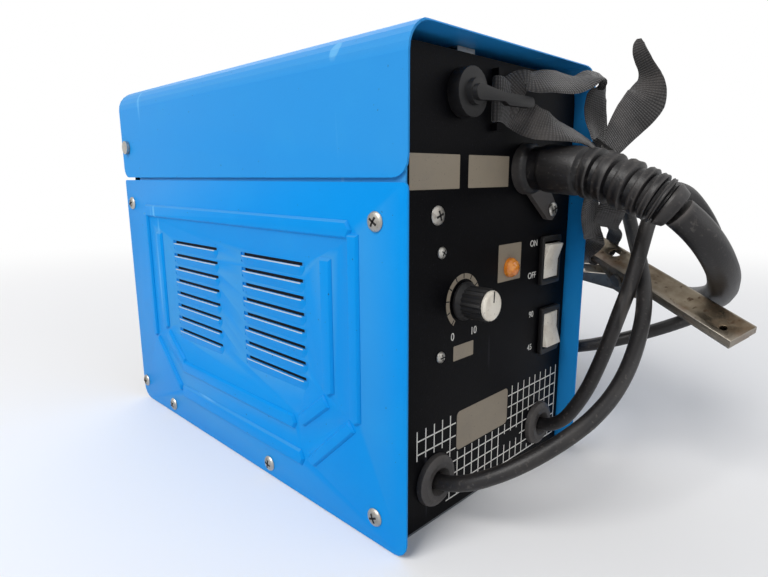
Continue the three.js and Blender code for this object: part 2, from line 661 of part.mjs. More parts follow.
function wireFeed() {
  const x = DIVIDER + SHEET + GAP;
  const plate = prism(
    "x",
    rounded([
      [FEED_Y - 36, 168, 4],
      [FEED_Y + 38, 168, 4],
      [FEED_Y + 38, 234, 8],
      [FEED_Y - 36, 234, 8],
    ]),
    x,
    x + 6,
  );
  const post = rod("x", ...ARM_PIVOT, 3, x + 1, x + 19, 16);
  const ears = [x + 15.5, x + 25].map((at) =>
    box(at, at + 3, TENSION[0] - 5, TENSION[0] + 5, TENSION[1] - 6, TENSION[1] + 5),
  );
  const shelf = box(x + 1, x + 28, TENSION[0] - 5, TENSION[0] + 5, TENSION[1] - 10, TENSION[1] - 5.6);
  const pin = rod("x", ...TENSION, 1.6, x + 16, x + 27.5, 12);
  const guide = rod("y", OUTLET[0], OUTLET[1], 3.2, FEED_Y + 22, FEED_Y + 38, 16);
  const carrier = box(x + 1, OUTLET[0] + 2, FEED_Y + 25, FEED_Y + 34, 199, 205.5);
  const clear = rod("x", ...DRIVE_AXIS, 3.6, x - 3, x + 9, 16);
  add(
    "feeder_plate",
    cut(join(plate, post, ...ears, shelf, pin, carrier, guide), clear),
    plain(0x2d2f33, 0.5),
  );
  const can = rod("x", ...DRIVE_AXIS, 17, -62, DIVIDER - GAP, 24);
  const gearbox = box(-20, DIVIDER - GAP, FEED_Y - 14, FEED_Y + 30, 172, 210);
  add("feed_motor", cut(join(can, gearbox), rod("x", ...DRIVE_AXIS, 3.4, -16, 0, 16)), steel(0x7d8185));

  const groove = turned("x", ...DRIVE_AXIS, [
    [0, -12],
    [3, -12],
    [3, 23],
    [DRIVE_RADIUS, 23],
    [DRIVE_RADIUS, 27.6],
    [DRIVE_RADIUS - 1, 29],
    [DRIVE_RADIUS, 30.4],
    [DRIVE_RADIUS, 35],
    [6, 35],
    [6, 39],
    [0, 39],
  ]);
  add("drive_roller", groove, steel(0xc2c4c4, 0.35));

  const arm = prism(
    "x",
    rounded([
      [FEED_Y - 31, 215, 4],
      [FEED_Y + 33, 214, 5],
      [FEED_Y + 33, 227, 5],
      [FEED_Y - 31, 224, 4],
    ]),
    x + 10,
    x + 21,
  );
  const pressurePin = rod("x", ...PRESSURE_AXIS, 2.4, x + 16, x + 34, 12);
  const nose = box(x + 12, x + 26, TENSION[0] - 6, TENSION[0] + 7, 215.6, 223.4);
  const slot = box(x + 17, x + 30, TENSION[0] - 20, TENSION[0] + 3.2, 210, 230);
  add(
    "pressure_arm",
    cut(join(arm, pressurePin, nose), slot, rod("x", ...ARM_PIVOT, 3.3, x, x + 30, 16)),
    plain(0x3a3d42, 0.5),
  );
  const roller = turned("x", ...PRESSURE_AXIS, [
    [2.5, 24],
    [PRESSURE_RADIUS, 24],
    [PRESSURE_RADIUS, 34],
    [2.5, 34],
    [2.5, 24],
  ]);
  add("pressure_roller", roller, steel(0xc2c4c4, 0.35));

  const across = x + 21.8; // the tension screw stands in the arm's slot
  const eye = rod("x", ...TENSION, 4.6, x + 19, x + 24.6, 16);
  const stem = rod("z", across, TENSION[0], 2, TENSION[1] + 3, 246, 12);
  const washer = rod("z", across, TENSION[0], 5, 238.6, 241.2, 16);
  const bore = rod("x", ...TENSION, 2, x + 10, x + 30, 12);
  const knob = rod("z", across, TENSION[0], 8, 241, 257, 16);
  add("tension_screw", cut(join(eye, stem, washer, knob), bore), steel(0xb0b2b3));
  add("pressure_spring", spring(across, TENSION[0], 224.4, 238, 3.4, 1.2, 4), steel(0x9a9da0));

  const hubStart = DIVIDER + SHEET + GAP;
  const axle = join(
    rod("x", SPOOL.y, SPOOL.z, 14, hubStart, hubStart + 4, 24),
    rod("x", SPOOL.y, SPOOL.z, 7.6, hubStart + 1, SPOOL.x + SPOOL.width + 9, 20),
    rod("x", SPOOL.y, SPOOL.z, 4.4, DIVIDER - 4, hubStart + 2, 16),
    rod("x", SPOOL.y, SPOOL.z, 13, SPOOL.x + SPOOL.width + 2, SPOOL.x + SPOOL.width + 8, 6),
  );
  add("spool_axle", axle, plain(0x222326, 0.5));
  const reach = SPOOL.x + SPOOL.width;
  const reel = turned("x", SPOOL.y, SPOOL.z, [
    [8, SPOOL.x],
    [SPOOL.radius, SPOOL.x],
    [SPOOL.radius, SPOOL.x + 2.4],
    [24, SPOOL.x + 2.4],
    [24, reach - 2.4],
    [SPOOL.radius, reach - 2.4],
    [SPOOL.radius, reach],
    [8, reach],
    [8, SPOOL.x],
  ], 32);
  add("wire_spool", reel, plain(0x33353a, 0.5));
  const wound = turned("x", SPOOL.y, SPOOL.z, [
    [24.3, SPOOL.x + 2.8],
    [40, SPOOL.x + 2.8],
    [40, reach - 2.8],
    [24.3, reach - 2.8],
    [24.3, SPOOL.x + 2.8],
  ], 32);
  add("welding_wire", wound, steel(0xa5a19a, 0.35));
}

// A coil spring standing along Z.
function spring(x, y, low, high, radius, wire, turns) {
  const points = [];
  const perTurn = 8;
  for (let i = 0; i <= turns * perTurn; i++) {
    const angle = (i / perTurn) * 2 * Math.PI;
    const z = THREE.MathUtils.lerp(low + wire / 2, high - wire / 2, i / (turns * perTurn));
    points.push([x + radius * Math.cos(angle), y + radius * Math.sin(angle), z]);
  }
  const shape = new THREE.Shape(circle(0, 0, wire / 2, 5).map(([u, v]) => new THREE.Vector2(u, v)));
  return new THREE.ExtrudeGeometry(shape, {
    steps: turns * perTurn,
    bevelEnabled: false,
    extrudePath: route(points),
  });
}

// ---------------------------------------------------------------- torch outlet and leads
const BOOT_ROUTE = [
  [29, -155.4, 207.6],
  [29, -175, 207.6],
  [28.3, -195, 205.6],
  [27.3, -212, 201.6],
  [26.9, -229.5, 194.9],
  [27.5, -238.3, 190.7],
  [28.6, -242.6, 188.1],
  [30.2, -246.4, 185.2],
];

const HOSE_ROUTE = [
  [30.8, -247.7, 184.1],
  [34, -252.3, 179.4],
  [38.2, -256.2, 174.3],
  [43.8, -259.5, 168.3],
  [51.8, -261.9, 161.1],
  [61.7, -262.9, 153.6],
  [73.4, -262.1, 146.2],
  [87.9, -259.1, 138.3],
  [102.3, -254.2, 131.2],
  [115.9, -247.5, 125],
  [129.5, -238.5, 119.8],
  [143.3, -226.8, 115.8],
  [154.7, -215.4, 114],
  [164.5, -204.4, 113.6],
  [174.3, -192.6, 114.1],
  [186.8, -176.2, 115.9],
  [199.3, -158.7, 118.2],
  [215, -135, 120.5],
  [236, -101, 119],
  [255, -65, 112],
  [272, -27, 96],
  [289, 10, 70],
  [300, 42, 42],
  [304.4, 62, 24.5],
  [305.2, 79, 14.4],
  [305, 92, 10.6],
  [305, 101, 10],
  [305, 107, 10],
];

const MAINS_ROUTE = [
  [61, -149, 25],
  [61, -160, 25],
  [61, -168, 27.4],
  [60.6, -177, 34.6],
  [60, -185, 46.6],
  [59.8, -192.5, 61.6],
  [60.2, -199, 80],
  [61.4, -204, 98],
  [62.3, -208.4, 115.2],
  [64.4, -211.9, 130.3],
  [67.3, -214.4, 145.3],
  [71.5, -215.8, 161.2],
  [78, -216.3, 175],
  [88, -216.8, 186.4],
  [101, -217.8, 192.6],
  [116, -219.6, 194.2],
  [132, -222, 190.6],
  [147, -225, 182.6],
  [160, -229, 171],
  [170, -233, 157],
  [174.5, -236, 141],
  [172, -237, 125.5],
  [163.8, -235.4, 111.6],
  [150.6, -229, 102.2],
  [137, -219, 96.5],
  [126, -205, 90],
  [118, -189, 83],
  [112, -171, 76.5],
  [109, -152, 70],
  [108.4, -134, 58.5],
  [108.8, -118, 44.8],
  [110, -104, 31.5],
  [112.2, -91, 19.6],
  [114.8, -79.5, 11.2],
  [117, -70, 7],
  [118, -63, 6],
  [118, -59, 6],
];

const EARTH_ROUTE = [
  [-56.4, -149, 28],
  [-56.4, -160, 28],
  [-55.2, -168, 29.6],
  [-52.2, -178.2, 33.3],
  [-48, -187.3, 38.2],
  [-41.2, -197.4, 44.6],
  [-33.3, -205.9, 51.1],
  [-24.1, -213.2, 57.6],
  [-14.1, -219.7, 64.5],
  [-3.7, -224.7, 71.4],
  [10.7, -228.8, 81.4],
  [26.9, -229.9, 93.4],
  [44.6, -228, 107.2],
  [60.4, -224.2, 120.3],
  [75.4, -217.8, 133],
  [90.1, -208.8, 147],
  [104.3, -198.8, 159.6],
  [115.3, -189.4, 174.6],
  [123, -181.2, 191],
  [127.5, -173, 208],
  [129, -161.5, 224],
  [128.5, -147, 235],
  [127.5, -129.5, 239.2],
  [127, -113.8, 236.2],
  [127.2, -101.1, 228],
  [128.2, -92.8, 215.2],
  [129.8, -90, 201],
  [131.8, -92.8, 186.8],
  [133.9, -101.1, 175],
  [134.4, -112.5, 167.8],
  [131.4, -124.6, 163.1],
  [127.8, -134.2, 159.2],
  [124.3, -143.1, 156.1],
  [120.9, -151.9, 153],
];

// A coil laid flat in two layers: it spirals in, climbs where the spiral reverses, and spirals out.
function coilPoints({ centre, radius, low, diameter, turns, start, spin, slack }) {
  const pitch = diameter + slack;
  const perTurn = 24;
  const count = Math.round(turns * perTurn);
  const points = [];
  for (let i = 0; i <= count; i++) {
    const turn = (i / count) * turns;
    const inward = Math.min(turn, turns - turn);
    const r = radius - pitch * inward;
    const climb = THREE.MathUtils.smoothstep(turn, turns / 2 - 0.25, turns / 2 + 0.25);
    const angle = start + spin * turn * 2 * Math.PI;
    points.push([
      centre[0] + r * Math.cos(angle),
      centre[1] + r * Math.sin(angle),
      low + pitch * climb,
    ]);
  }
  // each end runs straight for one diameter, along the coil's tangent
  const straight = ([x, y, z], angle, way) => [
    x - way * spin * diameter * Math.sin(angle),
    y + way * spin * diameter * Math.cos(angle),
    z,
  ];
  const finish = start + spin * turns * 2 * Math.PI;
  return [straight(points[0], start, -1), ...points, straight(points.at(-1), finish, 1)];
}

// Prints the least gap between two turns of a coil.
function reportGap(name, points, diameter) {
  let least = Infinity;
  const away = 14;
  for (let i = 0; i < points.length; i++)
    for (let j = i + away; j < points.length; j++) {
      const [a, b] = vectors([points[i], points[j]]);
      least = Math.min(least, a.distanceTo(b) - diameter);
    }
  console.log(`${name}: least gap between turns ${least.toFixed(2)} mm`);
}

function coil(points, diameter, sides) {
  const curve = route(points);
  const shape = new THREE.Shape(
    circle(0, 0, diameter / 2, sides).map(([u, v]) => new THREE.Vector2(u, v)),
  );
  return new THREE.ExtrudeGeometry(shape, {
    steps: points.length - 1,
    bevelEnabled: false,
    extrudePath: curve,
  });
}

const MAINS_COIL = {
  centre: [180, -49],
  radius: 62,
  low: 6,
  diameter: MAINS_DIAMETER,
  turns: 4.1,
  start: Math.PI,
  spin: -1,
  slack: 0.7,
};

const HOSE_COIL = {
  centre: [208, 125],
  radius: 97,
  low: 10,
  diameter: HOSE_DIAMETER,
  turns: 2.25,
  start: 0,
  spin: 1,
  slack: 0.8,
};

const MAINS_END_ROUTE = [
  [135.7, -4.5, 16.2],
  [138.6, -0.5, 16.2],
  [148.6, 8.2, 18.6],
  [166, 13, 25.6],
  [184, 12.4, 31],
  [200, 6.4, 35.8],
  [212.6, -4, 39.2],
  [219.8, -16, 40.8],
  [222, -24, 41],
  [222, -28, 41],
];

const HOSE_END_ROUTE = [
  [190.1, 222, 28.3],
  [184, 222, 28.3],
  [171, 222.5, 26],
  [158, 223, 22],
  [150.5, 223, 20.4],
  [146.6, 223, 20],
];

function torchBoot() {
  const stations = [
    [0, 16],
    [0.05, 15.2],
    [0.055, 13.4],
    [0.16, 13.4],
    [0.165, 14.5],
    [0.32, 14.5],
    [0.33, 12.6],
    [0.37, 12],
  ];
  const ribs = 6;
  for (let i = 0; i < ribs; i++) {
    const start = 0.38 + i * 0.073;
    const outer = 14.9 - i * 0.35;
    stations.push([start, outer], [start + 0.035, outer], [start + 0.04, 11.6 - i * 0.25]);
    stations.push([start + 0.068, 11.6 - i * 0.25]);
  }
  stations.push([0.825, 13], [0.965, 11.2], [1, 10.9]);
  const body = sweep(BOOT_ROUTE, stations, 16);
  const ear = prism(
    "y",
    rounded([[30, 192, 0], [56, 174, 6], [66, 180, 6], [46, 206, 0]]),
    FRONT - 4,
    FRONT - 0.6,
  );
  const bore = rod("y", OUTLET[0], OUTLET[1], 3, FRONT - 8, FRONT + 4, 12);
  add("torch_boot", cut(join(body, ear), bore), plain(0x17181a, 0.6));
}

function leads() {
  add("torch_hose", tube(HOSE_ROUTE, HOSE_DIAMETER, 12), plain(0x1a1b1d, 0.6));
  add("earth_lead", tube(EARTH_ROUTE, EARTH_DIAMETER), plain(0x1a1b1d, 0.6));
  add("mains_lead", tube(MAINS_ROUTE, MAINS_DIAMETER), plain(0x1a1b1d, 0.6));
  const mains = coilPoints(MAINS_COIL);
  const hose = coilPoints(HOSE_COIL);
  reportGap("mains lead coil", mains, MAINS_DIAMETER);
  reportGap("torch hose coil", hose, HOSE_DIAMETER);
  add("mains_lead_coil", coil(mains, MAINS_DIAMETER, 6), plain(0x1a1b1d, 0.6));
  add("torch_hose_coil", coil(hose, HOSE_DIAMETER, 8), plain(0x1a1b1d, 0.6));
  add("mains_lead_end", tube(MAINS_END_ROUTE, MAINS_DIAMETER), plain(0x1a1b1d, 0.6));
  add("torch_hose_end", tube(HOSE_END_ROUTE, HOSE_DIAMETER, 12), plain(0x1a1b1d, 0.6));

  // the mains plug lies along Y on its coil: relief, round body, two pins
  const [x, y, z] = MAINS_END_ROUTE.at(-1);
  const plug = turned("y", x, z, [
    [0, -y + GAP],
    [6.4, -y + GAP],
    [8.4, -y + 22],
    [13, -y + 27],
    [18.6, -y + 32],
    [18.6, -y + 50],
    [0, -y + 50],
  ]);
  const pins = [-9.5, 9.5].map((side) => rod("y", x + side, z, 2.4, y - 69, y - 49, 12));
  add("mains_plug", join(plug, ...pins), plain(0x16171a, 0.6));
}

// ---------------------------------------------------------------- torch
const TORCH = { x: 146, y: 223, z: 17 }; // middle of the handle's rear end

function torch() {
  const { x, y, z } = TORCH;
  const outline = rounded([
    [x, y - 11, 5],
    [x, y + 11, 5],
    [x - 30, y + 14, 30],
    [x - 90, y + 14, 30],
    [x - 128, y + 10.5, 5],
    [x - 128, y - 10.5, 5],
    [x - 92, y - 14, 30],
    [x - 30, y - 14, 30],
  ]);
  const handle = prism("z", outline, z - 15, z + 15, 3.5);
  const slot = box(x - 98, x - 38, y - 20, y - 4, z - 5.6, z + 5.6);
  const hoseSeat = rod("x", HOSE_END_ROUTE.at(-1)[1], HOSE_END_ROUTE.at(-1)[2], 9.2, x - 14, x + 4, 16);
  const neckSeat = rod("x", y, z, 6.8, x - 140, x - 116, 16);
  add("torch_handle", cut(handle, slot, hoseSeat, neckSeat), plain(0x1c1d20, 0.6));
  const trigger = prism(
    "z",
    [
      [x - 44, y - 8],
      [x - 93, y - 8],
      [x - 93, y - 15],
      [x - 84, y - 19],
      [x - 66, y - 19.5],
      [x - 44, y - 14.5],
    ],
    z - 5,
    z + 5,
  );
  add("torch_trigger", trigger, plain(0xb8311f, 0.5));
  const neck = tube(
    [[x - 117, y, z], [x - 132, y, z], [x - 148, y - 2, z], [x - 163, y - 10, z], [x - 172, y - 22, z]],
    13,
    12,
  );
  add("torch_neck", neck, steel(0xb08a4a, 0.4));
  const tip = new THREE.Group();
  tip.position.set(x - 172, y - 22, z);
  tip.rotation.z = Math.atan2(-12, -9);
  welder.add(tip);
  const nozzle = turned("x", 0, 0, [
    [3.4, 0.4],
    [8.4, 0.4],
    [9.6, 4],
    [9.6, 16],
    [7.4, 24],
    [3.4, 24],
    [3.4, 0.4],
  ]);
  add("torch_nozzle", nozzle, steel(0xb9a06a, 0.4), tip);
  add("contact_tip", turned("x", 0, 0, [[0, 2], [3, 2], [3, 25], [1.6, 29], [0, 29]], 12), steel(0xb06a3a), tip);
}

// ---------------------------------------------------------------- earth clamp
// Its own frame: X runs from the handle end to the jaws, Y across the arms, Z out of the upper arm.
const CLAMP_START = new THREE.Vector3(120, -146.6, 161.3);
const CLAMP_TIP = new THREE.Vector3(69.1, -276.7, 115);
const CLAMP_FACE = new THREE.Vector3(-0.465, -0.129, 0.876);
const CLAMP = { width: 19.6, sheet: 1.5, wall: 5, pivot: 58, face: 9 };

function clamp() {
  const length = CLAMP_START.distanceTo(CLAMP_TIP);
  const along = CLAMP_TIP.clone().sub(CLAMP_START).normalize();
  const out = CLAMP_FACE.clone().addScaledVector(along, -CLAMP_FACE.dot(along)).normalize();
  const across = out.clone().cross(along);
  const frame = new THREE.Group();
  frame.matrixAutoUpdate = false;
  const origin = CLAMP_START.clone().addScaledVector(out, -CLAMP.face);
  frame.matrix.makeBasis(along, across, out).setPosition(origin);
  welder.add(frame);

  const { width, sheet, wall, pivot, face } = CLAMP;
  const half = width / 2;
  // upper arm: a channel open towards the lower arm, deeper at the pivot, closed at its nose
  const flange = [
    [0, face],
    [0, face - wall],
    [pivot - 18, face - wall - 1],
    [pivot - 8, -4],
    [pivot + 8, -4],
    [pivot + 18, face - wall],
    [length, face - wall],
    [length, face],
  ];
  const side = (at) => prism("y", flange.slice().reverse(), at, at + sheet);
  const web = box(0, length, -half, half, face - sheet, face);
  const nose = box(length - sheet, length, -half, half, face - wall, face);
  const upper = cut(
    join(web, side(-half), side(half - sheet), nose),
    rod("z", pivot - 16, 2.5, 4.2, 0, 20, 16),
    rod("z", length - 10, -4, 2.2, 0, 20, 10),
    rod("y", pivot, 0, 3.2, -half - 4, half + 4, 12),
  );
  add("clamp_upper_arm", upper, steel(ZINC, 0.5), frame);

  // lower arm: narrower, its handle splayed away so that squeezing opens the jaws
  const inner = half - sheet - 0.5;
  const back = -13;
  const splay = 18;
  const jaw = face - wall - 3.6; // the jaw's outer face, closed on the upper arm
  const outer = [
    [2, back - splay],
    [pivot - 6, back],
    [pivot + 6, back],
    [pivot + 30, jaw],
    [length - 2, jaw],
  ];
  const webLow = prism(
    "y",
    [...outer, ...outer.map(([u, v]) => [u, v + sheet]).reverse()],
    -inner,
    inner,
  );
  const flangeLow = [
    ...outer,
    [length - 2, jaw + 3],
    [pivot + 30, jaw + 3],
    [pivot + 14, -3],
    [pivot + 6, 4.6],
    [pivot - 6, 4.6],
    [pivot - 14, -4],
    [2, back - splay + 6],
  ];
  const lowSide = (at) => prism("y", flangeLow, at, at + sheet);
  const lower = cut(
    join(webLow, lowSide(-inner), lowSide(inner - sheet)),
    rod("y", pivot, 0, 3.2, -half - 4, half + 4, 12),
  );
  add("clamp_lower_arm", lower, steel(ZINC, 0.5), frame);

  const rivet = join(
    rod("y", pivot, 0, 2.9, -half - 2, half + 2, 12),
    rod("y", pivot, 0, 4.6, half + GAP, half + 2.2, 12),
    rod("y", pivot, 0, 4.6, -half - 2.2, -half - GAP, 12),
  );
  add("clamp_rivet", rivet, steel(0x8f9190), frame);
  const turns = 3.5;
  const coilLine = Array.from({ length: turns * 8 + 1 }, (_, i) => {
    const angle = (i / 8) * 2 * Math.PI;
    return [pivot + 4.9 * Math.cos(angle), -4.8 + (9.6 * i) / (turns * 8), 4.9 * Math.sin(angle)];
  });
  const wire = new THREE.Shape(circle(0, 0, 0.9, 6).map(([u, v]) => new THREE.Vector2(u, v)));
  add(
    "clamp_spring",
    new THREE.ExtrudeGeometry(wire, {
      steps: turns * 8,
      bevelEnabled: false,
      extrudePath: route(coilLine),
    }),
    steel(0x8f9190),
    frame,
  );
}

// ---------------------------------------------------------------- strap
// Each station gives a point, the direction of the width there and how much of the width is left.
function strap() {
  const web = plain(0x1c1b1b, 0.9);
  const sling = [
    [60.1, -189.4, 211, 0.97, 0.21, 0.09, 0.68],
    [66, -191.9, 208.3, 1, 0.04, 0.04, 0.72],
    [68.7, -193.9, 200.5, 0.98, -0.2, -0.01, 0.8],
    [69.4, -195.5, 192.3, 0.9, -0.43, -0.01, 0.8],
    [71.1, -195.5, 183.3, 0.83, -0.54, -0.14, 0.8],
    [79.2, -190.1, 175.2, 0.8, -0.58, -0.1, 0.74],
    [91, -184.4, 169.4, 0.5, -0.85, -0.1, 0.62],
    [107, -182.4, 166.2, 0, -0.9, -0.42, 0.54],
    [117.3, -179.5, 161.3, -0.35, -0.88, -0.31, 0.5],
    [120.6, -177, 157.1, -0.35, -0.88, -0.31, 0.5],
    [123.1, -175.2, 152.5, -0.35, -0.88, -0.31, 0.5],
    [122.6, -173.2, 147.5, -0.35, -0.88, -0.31, 0.5],
    [115.8, -169, 143.2, -0.35, -0.88, -0.31, 0.5],
    [107.9, -165.2, 140.9, -0.35, -0.88, -0.31, 0.5],
    [103.1, -164.6, 143.5, -0.35, -0.88, -0.31, 0.5],
    [99.6, -166.3, 148.1, -0.35, -0.88, -0.31, 0.5],
    [97, -174.8, 157, 0.3, -0.8, -0.5, 0.5],
    [91.5, -176.6, 159.8, 0.6, -0.7, -0.35, 0.5],
    [86, -177, 162.8, 0.9, -0.4, -0.1, 0.5],
    [80, -178.6, 167.4, 0.98, -0.2, 0.03, 0.56],
    [70.7, -181.4, 175.9, 0.99, -0.12, -0.01, 0.64],
    [63.1, -184.2, 184.6, 1, -0.08, -0.04, 0.68],
    [60.2, -186.1, 193, 1, -0.01, -0.02, 0.68],
    [60.8, -187.2, 201.1, 1, 0.07, -0.01, 0.68],
    [60.2, -187.7, 207.7, 0.99, 0.14, 0.04, 0.68],
  ];
  add("strap_sling", band(sling, STRAP_WIDTH, STRAP_THICK, 72, true), web);

  const loop = [
    [49.6, -194.2, 217.9, 0.95, 0.3, 0.09, 0.8],
    [41.4, -187.6, 224.4, 0.87, 0.43, 0.22, 0.78],
    [34.7, -184.4, 227.4, 0.84, 0.44, 0.3, 0.86],
    [26.6, -181.3, 229.4, 0.78, 0.43, 0.45, 0.9],
    [19, -176.2, 231.6, 0.5, 0.36, 0.78, 0.86],
    [15, -169.5, 233.8, 0.25, 0.2, 0.95, 0.78],
    [11, -163.6, 237.4, 0.06, 0.06, 1, 0.8],
    [4.5, -160.4, 241.6, 0, 0, 1, 0.88],
    [-3, -160.2, 244.8, 0, 0, 1, 0.96],
    [-8, -160.5, 246, 0, 0, 1, 1],
    [-11.4, -160.1, 246, 0, 0, 1, 1],
    [-12.6, -158.7, 246, 0, 0, 1, 1],
    [-11.4, -157.2, 246, 0, 0, 1, 1],
    [-8, -157.05, 246, 0, 0, 1, 1],
    [-3.6, -158.1, 246, 0, 0, 1, 0.93],
    [0.5, -160, 249.4, 0.03, 0.03, 1, 0.8],
    [4.2, -161.6, 254.4, 0.1, 0.1, 1, 0.62],
    [8.5, -164, 258, 0.35, 0.25, 0.9, 0.52],
    [13.4, -168, 256.8, 0.58, 0.38, 0.72, 0.7],
    [21.5, -172.8, 257.6, 0.69, 0.41, 0.6, 0.92],
    [34.7, -177.7, 258, 0.73, 0.41, 0.55, 0.96],
    [46.7, -180.5, 260.1, 0.82, 0.42, 0.38, 0.96],
    [58.8, -183.3, 262.7, 0.89, 0.39, 0.24, 0.88],
    [65, -184.7, 259.6, 0.97, 0.25, 0.04, 0.8],
    [65.2, -182.8, 251.7, 0.99, -0.14, 0.02, 0.88],
    [63.3, -183.5, 242.5, 0.98, -0.19, 0.06, 0.88],
    [59.2, -186.6, 233, 0.99, -0.13, 0.05, 0.84],
    [53.6, -190.7, 224.1, 0.99, 0.13, 0.04, 0.8],
  ];
  const tail = [
    [51.2, -196.8, 214.6, 0.99, -0.07, -0.1, 0.6],
    [57.2, -197.9, 221.9, 0.96, -0.24, -0.14, 0.72],
    [62.8, -198.9, 228, 0.94, -0.3, -0.16, 0.88],
    [71, -201.6, 236.9, 0.88, -0.45, -0.17, 1],
    [77.2, -204.5, 243.6, 0.73, -0.64, -0.23, 1],
    [82.5, -206.5, 250.1, 0.6, -0.74, -0.29, 1],
    [85.8, -206.5, 257.4, 0.3, -0.85, -0.35, 0.9],
    [86.8, -205.9, 263.3, 0.1, -0.9, -0.35, 0.8],
    [85.7, -204.6, 268, 0, -0.92, -0.35, 0.74],
    [83.8, -202.3, 273.4, 0, -0.92, -0.35, 0.68],
    [82.9, -200, 278.9, 0, -0.92, -0.35, 0.56],
    [83.1, -199, 283.3, 0, -0.92, -0.35, 0.4],
    [83.8, -198.8, 286.1, 0, -0.92, -0.35, 0.2],
  ];
  const wrap = band(loop, STRAP_WIDTH, STRAP_THICK, 64, true);
  add("strap_loop", join(wrap, band(tail, STRAP_WIDTH, STRAP_THICK, 28)), web);
}

casing();
lid();
frontFittings();
transformer();
fan();
wireFeed();
torchBoot();
leads();
torch();
clamp();
strap();

export default welder;
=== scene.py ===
"""Portable wire-feed welding machine: its finishes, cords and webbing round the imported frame, in metres."""

import json
import math

import bmesh
import bpy
from mathutils import Matrix, Vector

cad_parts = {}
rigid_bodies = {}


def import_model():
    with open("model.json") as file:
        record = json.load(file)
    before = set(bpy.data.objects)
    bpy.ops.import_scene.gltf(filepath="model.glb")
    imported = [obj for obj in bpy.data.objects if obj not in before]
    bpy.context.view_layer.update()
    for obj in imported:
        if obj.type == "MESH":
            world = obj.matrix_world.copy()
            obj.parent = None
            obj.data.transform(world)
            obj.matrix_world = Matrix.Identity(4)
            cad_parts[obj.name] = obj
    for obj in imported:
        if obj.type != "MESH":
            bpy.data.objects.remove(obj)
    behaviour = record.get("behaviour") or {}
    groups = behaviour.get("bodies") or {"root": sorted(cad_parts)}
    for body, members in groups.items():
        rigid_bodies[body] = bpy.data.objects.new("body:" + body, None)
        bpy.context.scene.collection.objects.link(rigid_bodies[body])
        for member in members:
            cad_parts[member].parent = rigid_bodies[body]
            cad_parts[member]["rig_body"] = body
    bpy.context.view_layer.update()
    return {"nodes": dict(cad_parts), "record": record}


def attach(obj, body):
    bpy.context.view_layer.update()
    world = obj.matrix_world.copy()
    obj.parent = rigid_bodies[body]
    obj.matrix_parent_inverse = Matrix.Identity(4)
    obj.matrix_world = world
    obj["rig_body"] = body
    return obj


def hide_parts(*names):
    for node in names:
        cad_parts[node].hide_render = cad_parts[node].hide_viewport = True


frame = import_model()

MM = 0.001
CASE = "case"
FRONT_MM = -155  # outer face of the front panel
FRONT = FRONT_MM * MM
SIDE_MM = 95  # outer faces of the side panels, to either side of the middle
PRINT = 0.00012  # thickness of printing and labels


def mm(*values):
    """A point given in millimetres."""
    return Vector(values) * MM


def add(name, data):
    """A new object in the scene."""
    made = bpy.data.objects.new(name, data)
    bpy.context.scene.collection.objects.link(made)
    return made


# ---------------------------------------------------------------- camera
def camera():
    """Low three-quarter view of the front and the left side, with a wide lens."""
    place = mm(-290.09, -345.53, 204.26)
    yaw, pitch, roll = math.radians(45.26), math.radians(11.54), -0.00426
    forward = Vector(
        (
            math.sin(yaw) * math.cos(pitch),
            math.cos(yaw) * math.cos(pitch),
            -math.sin(pitch),
        )
    )
    level = forward.cross(Vector((0, 0, 1))).normalized()
    above = level.cross(forward)
    right = math.cos(roll) * level + math.sin(roll) * above
    up = math.cos(roll) * above - math.sin(roll) * level
    data = bpy.data.cameras.new("camera")
    data.lens = 26.08
    data.sensor_width = 36
    data.clip_start = 0.01
    view = add("camera", data)
    axes = Matrix((right, up, -forward)).transposed()
    view.matrix_world = Matrix.Translation(place) @ axes.to_4x4()
    bpy.context.scene.camera = view


# ---------------------------------------------------------------- materials
def linear(r, g, b):
    """An 8-bit screen colour as linear light."""
    return tuple(((c / 255 + 0.055) / 1.055) ** 2.4 if c > 10 else c / 3294.6 for c in (r, g, b))


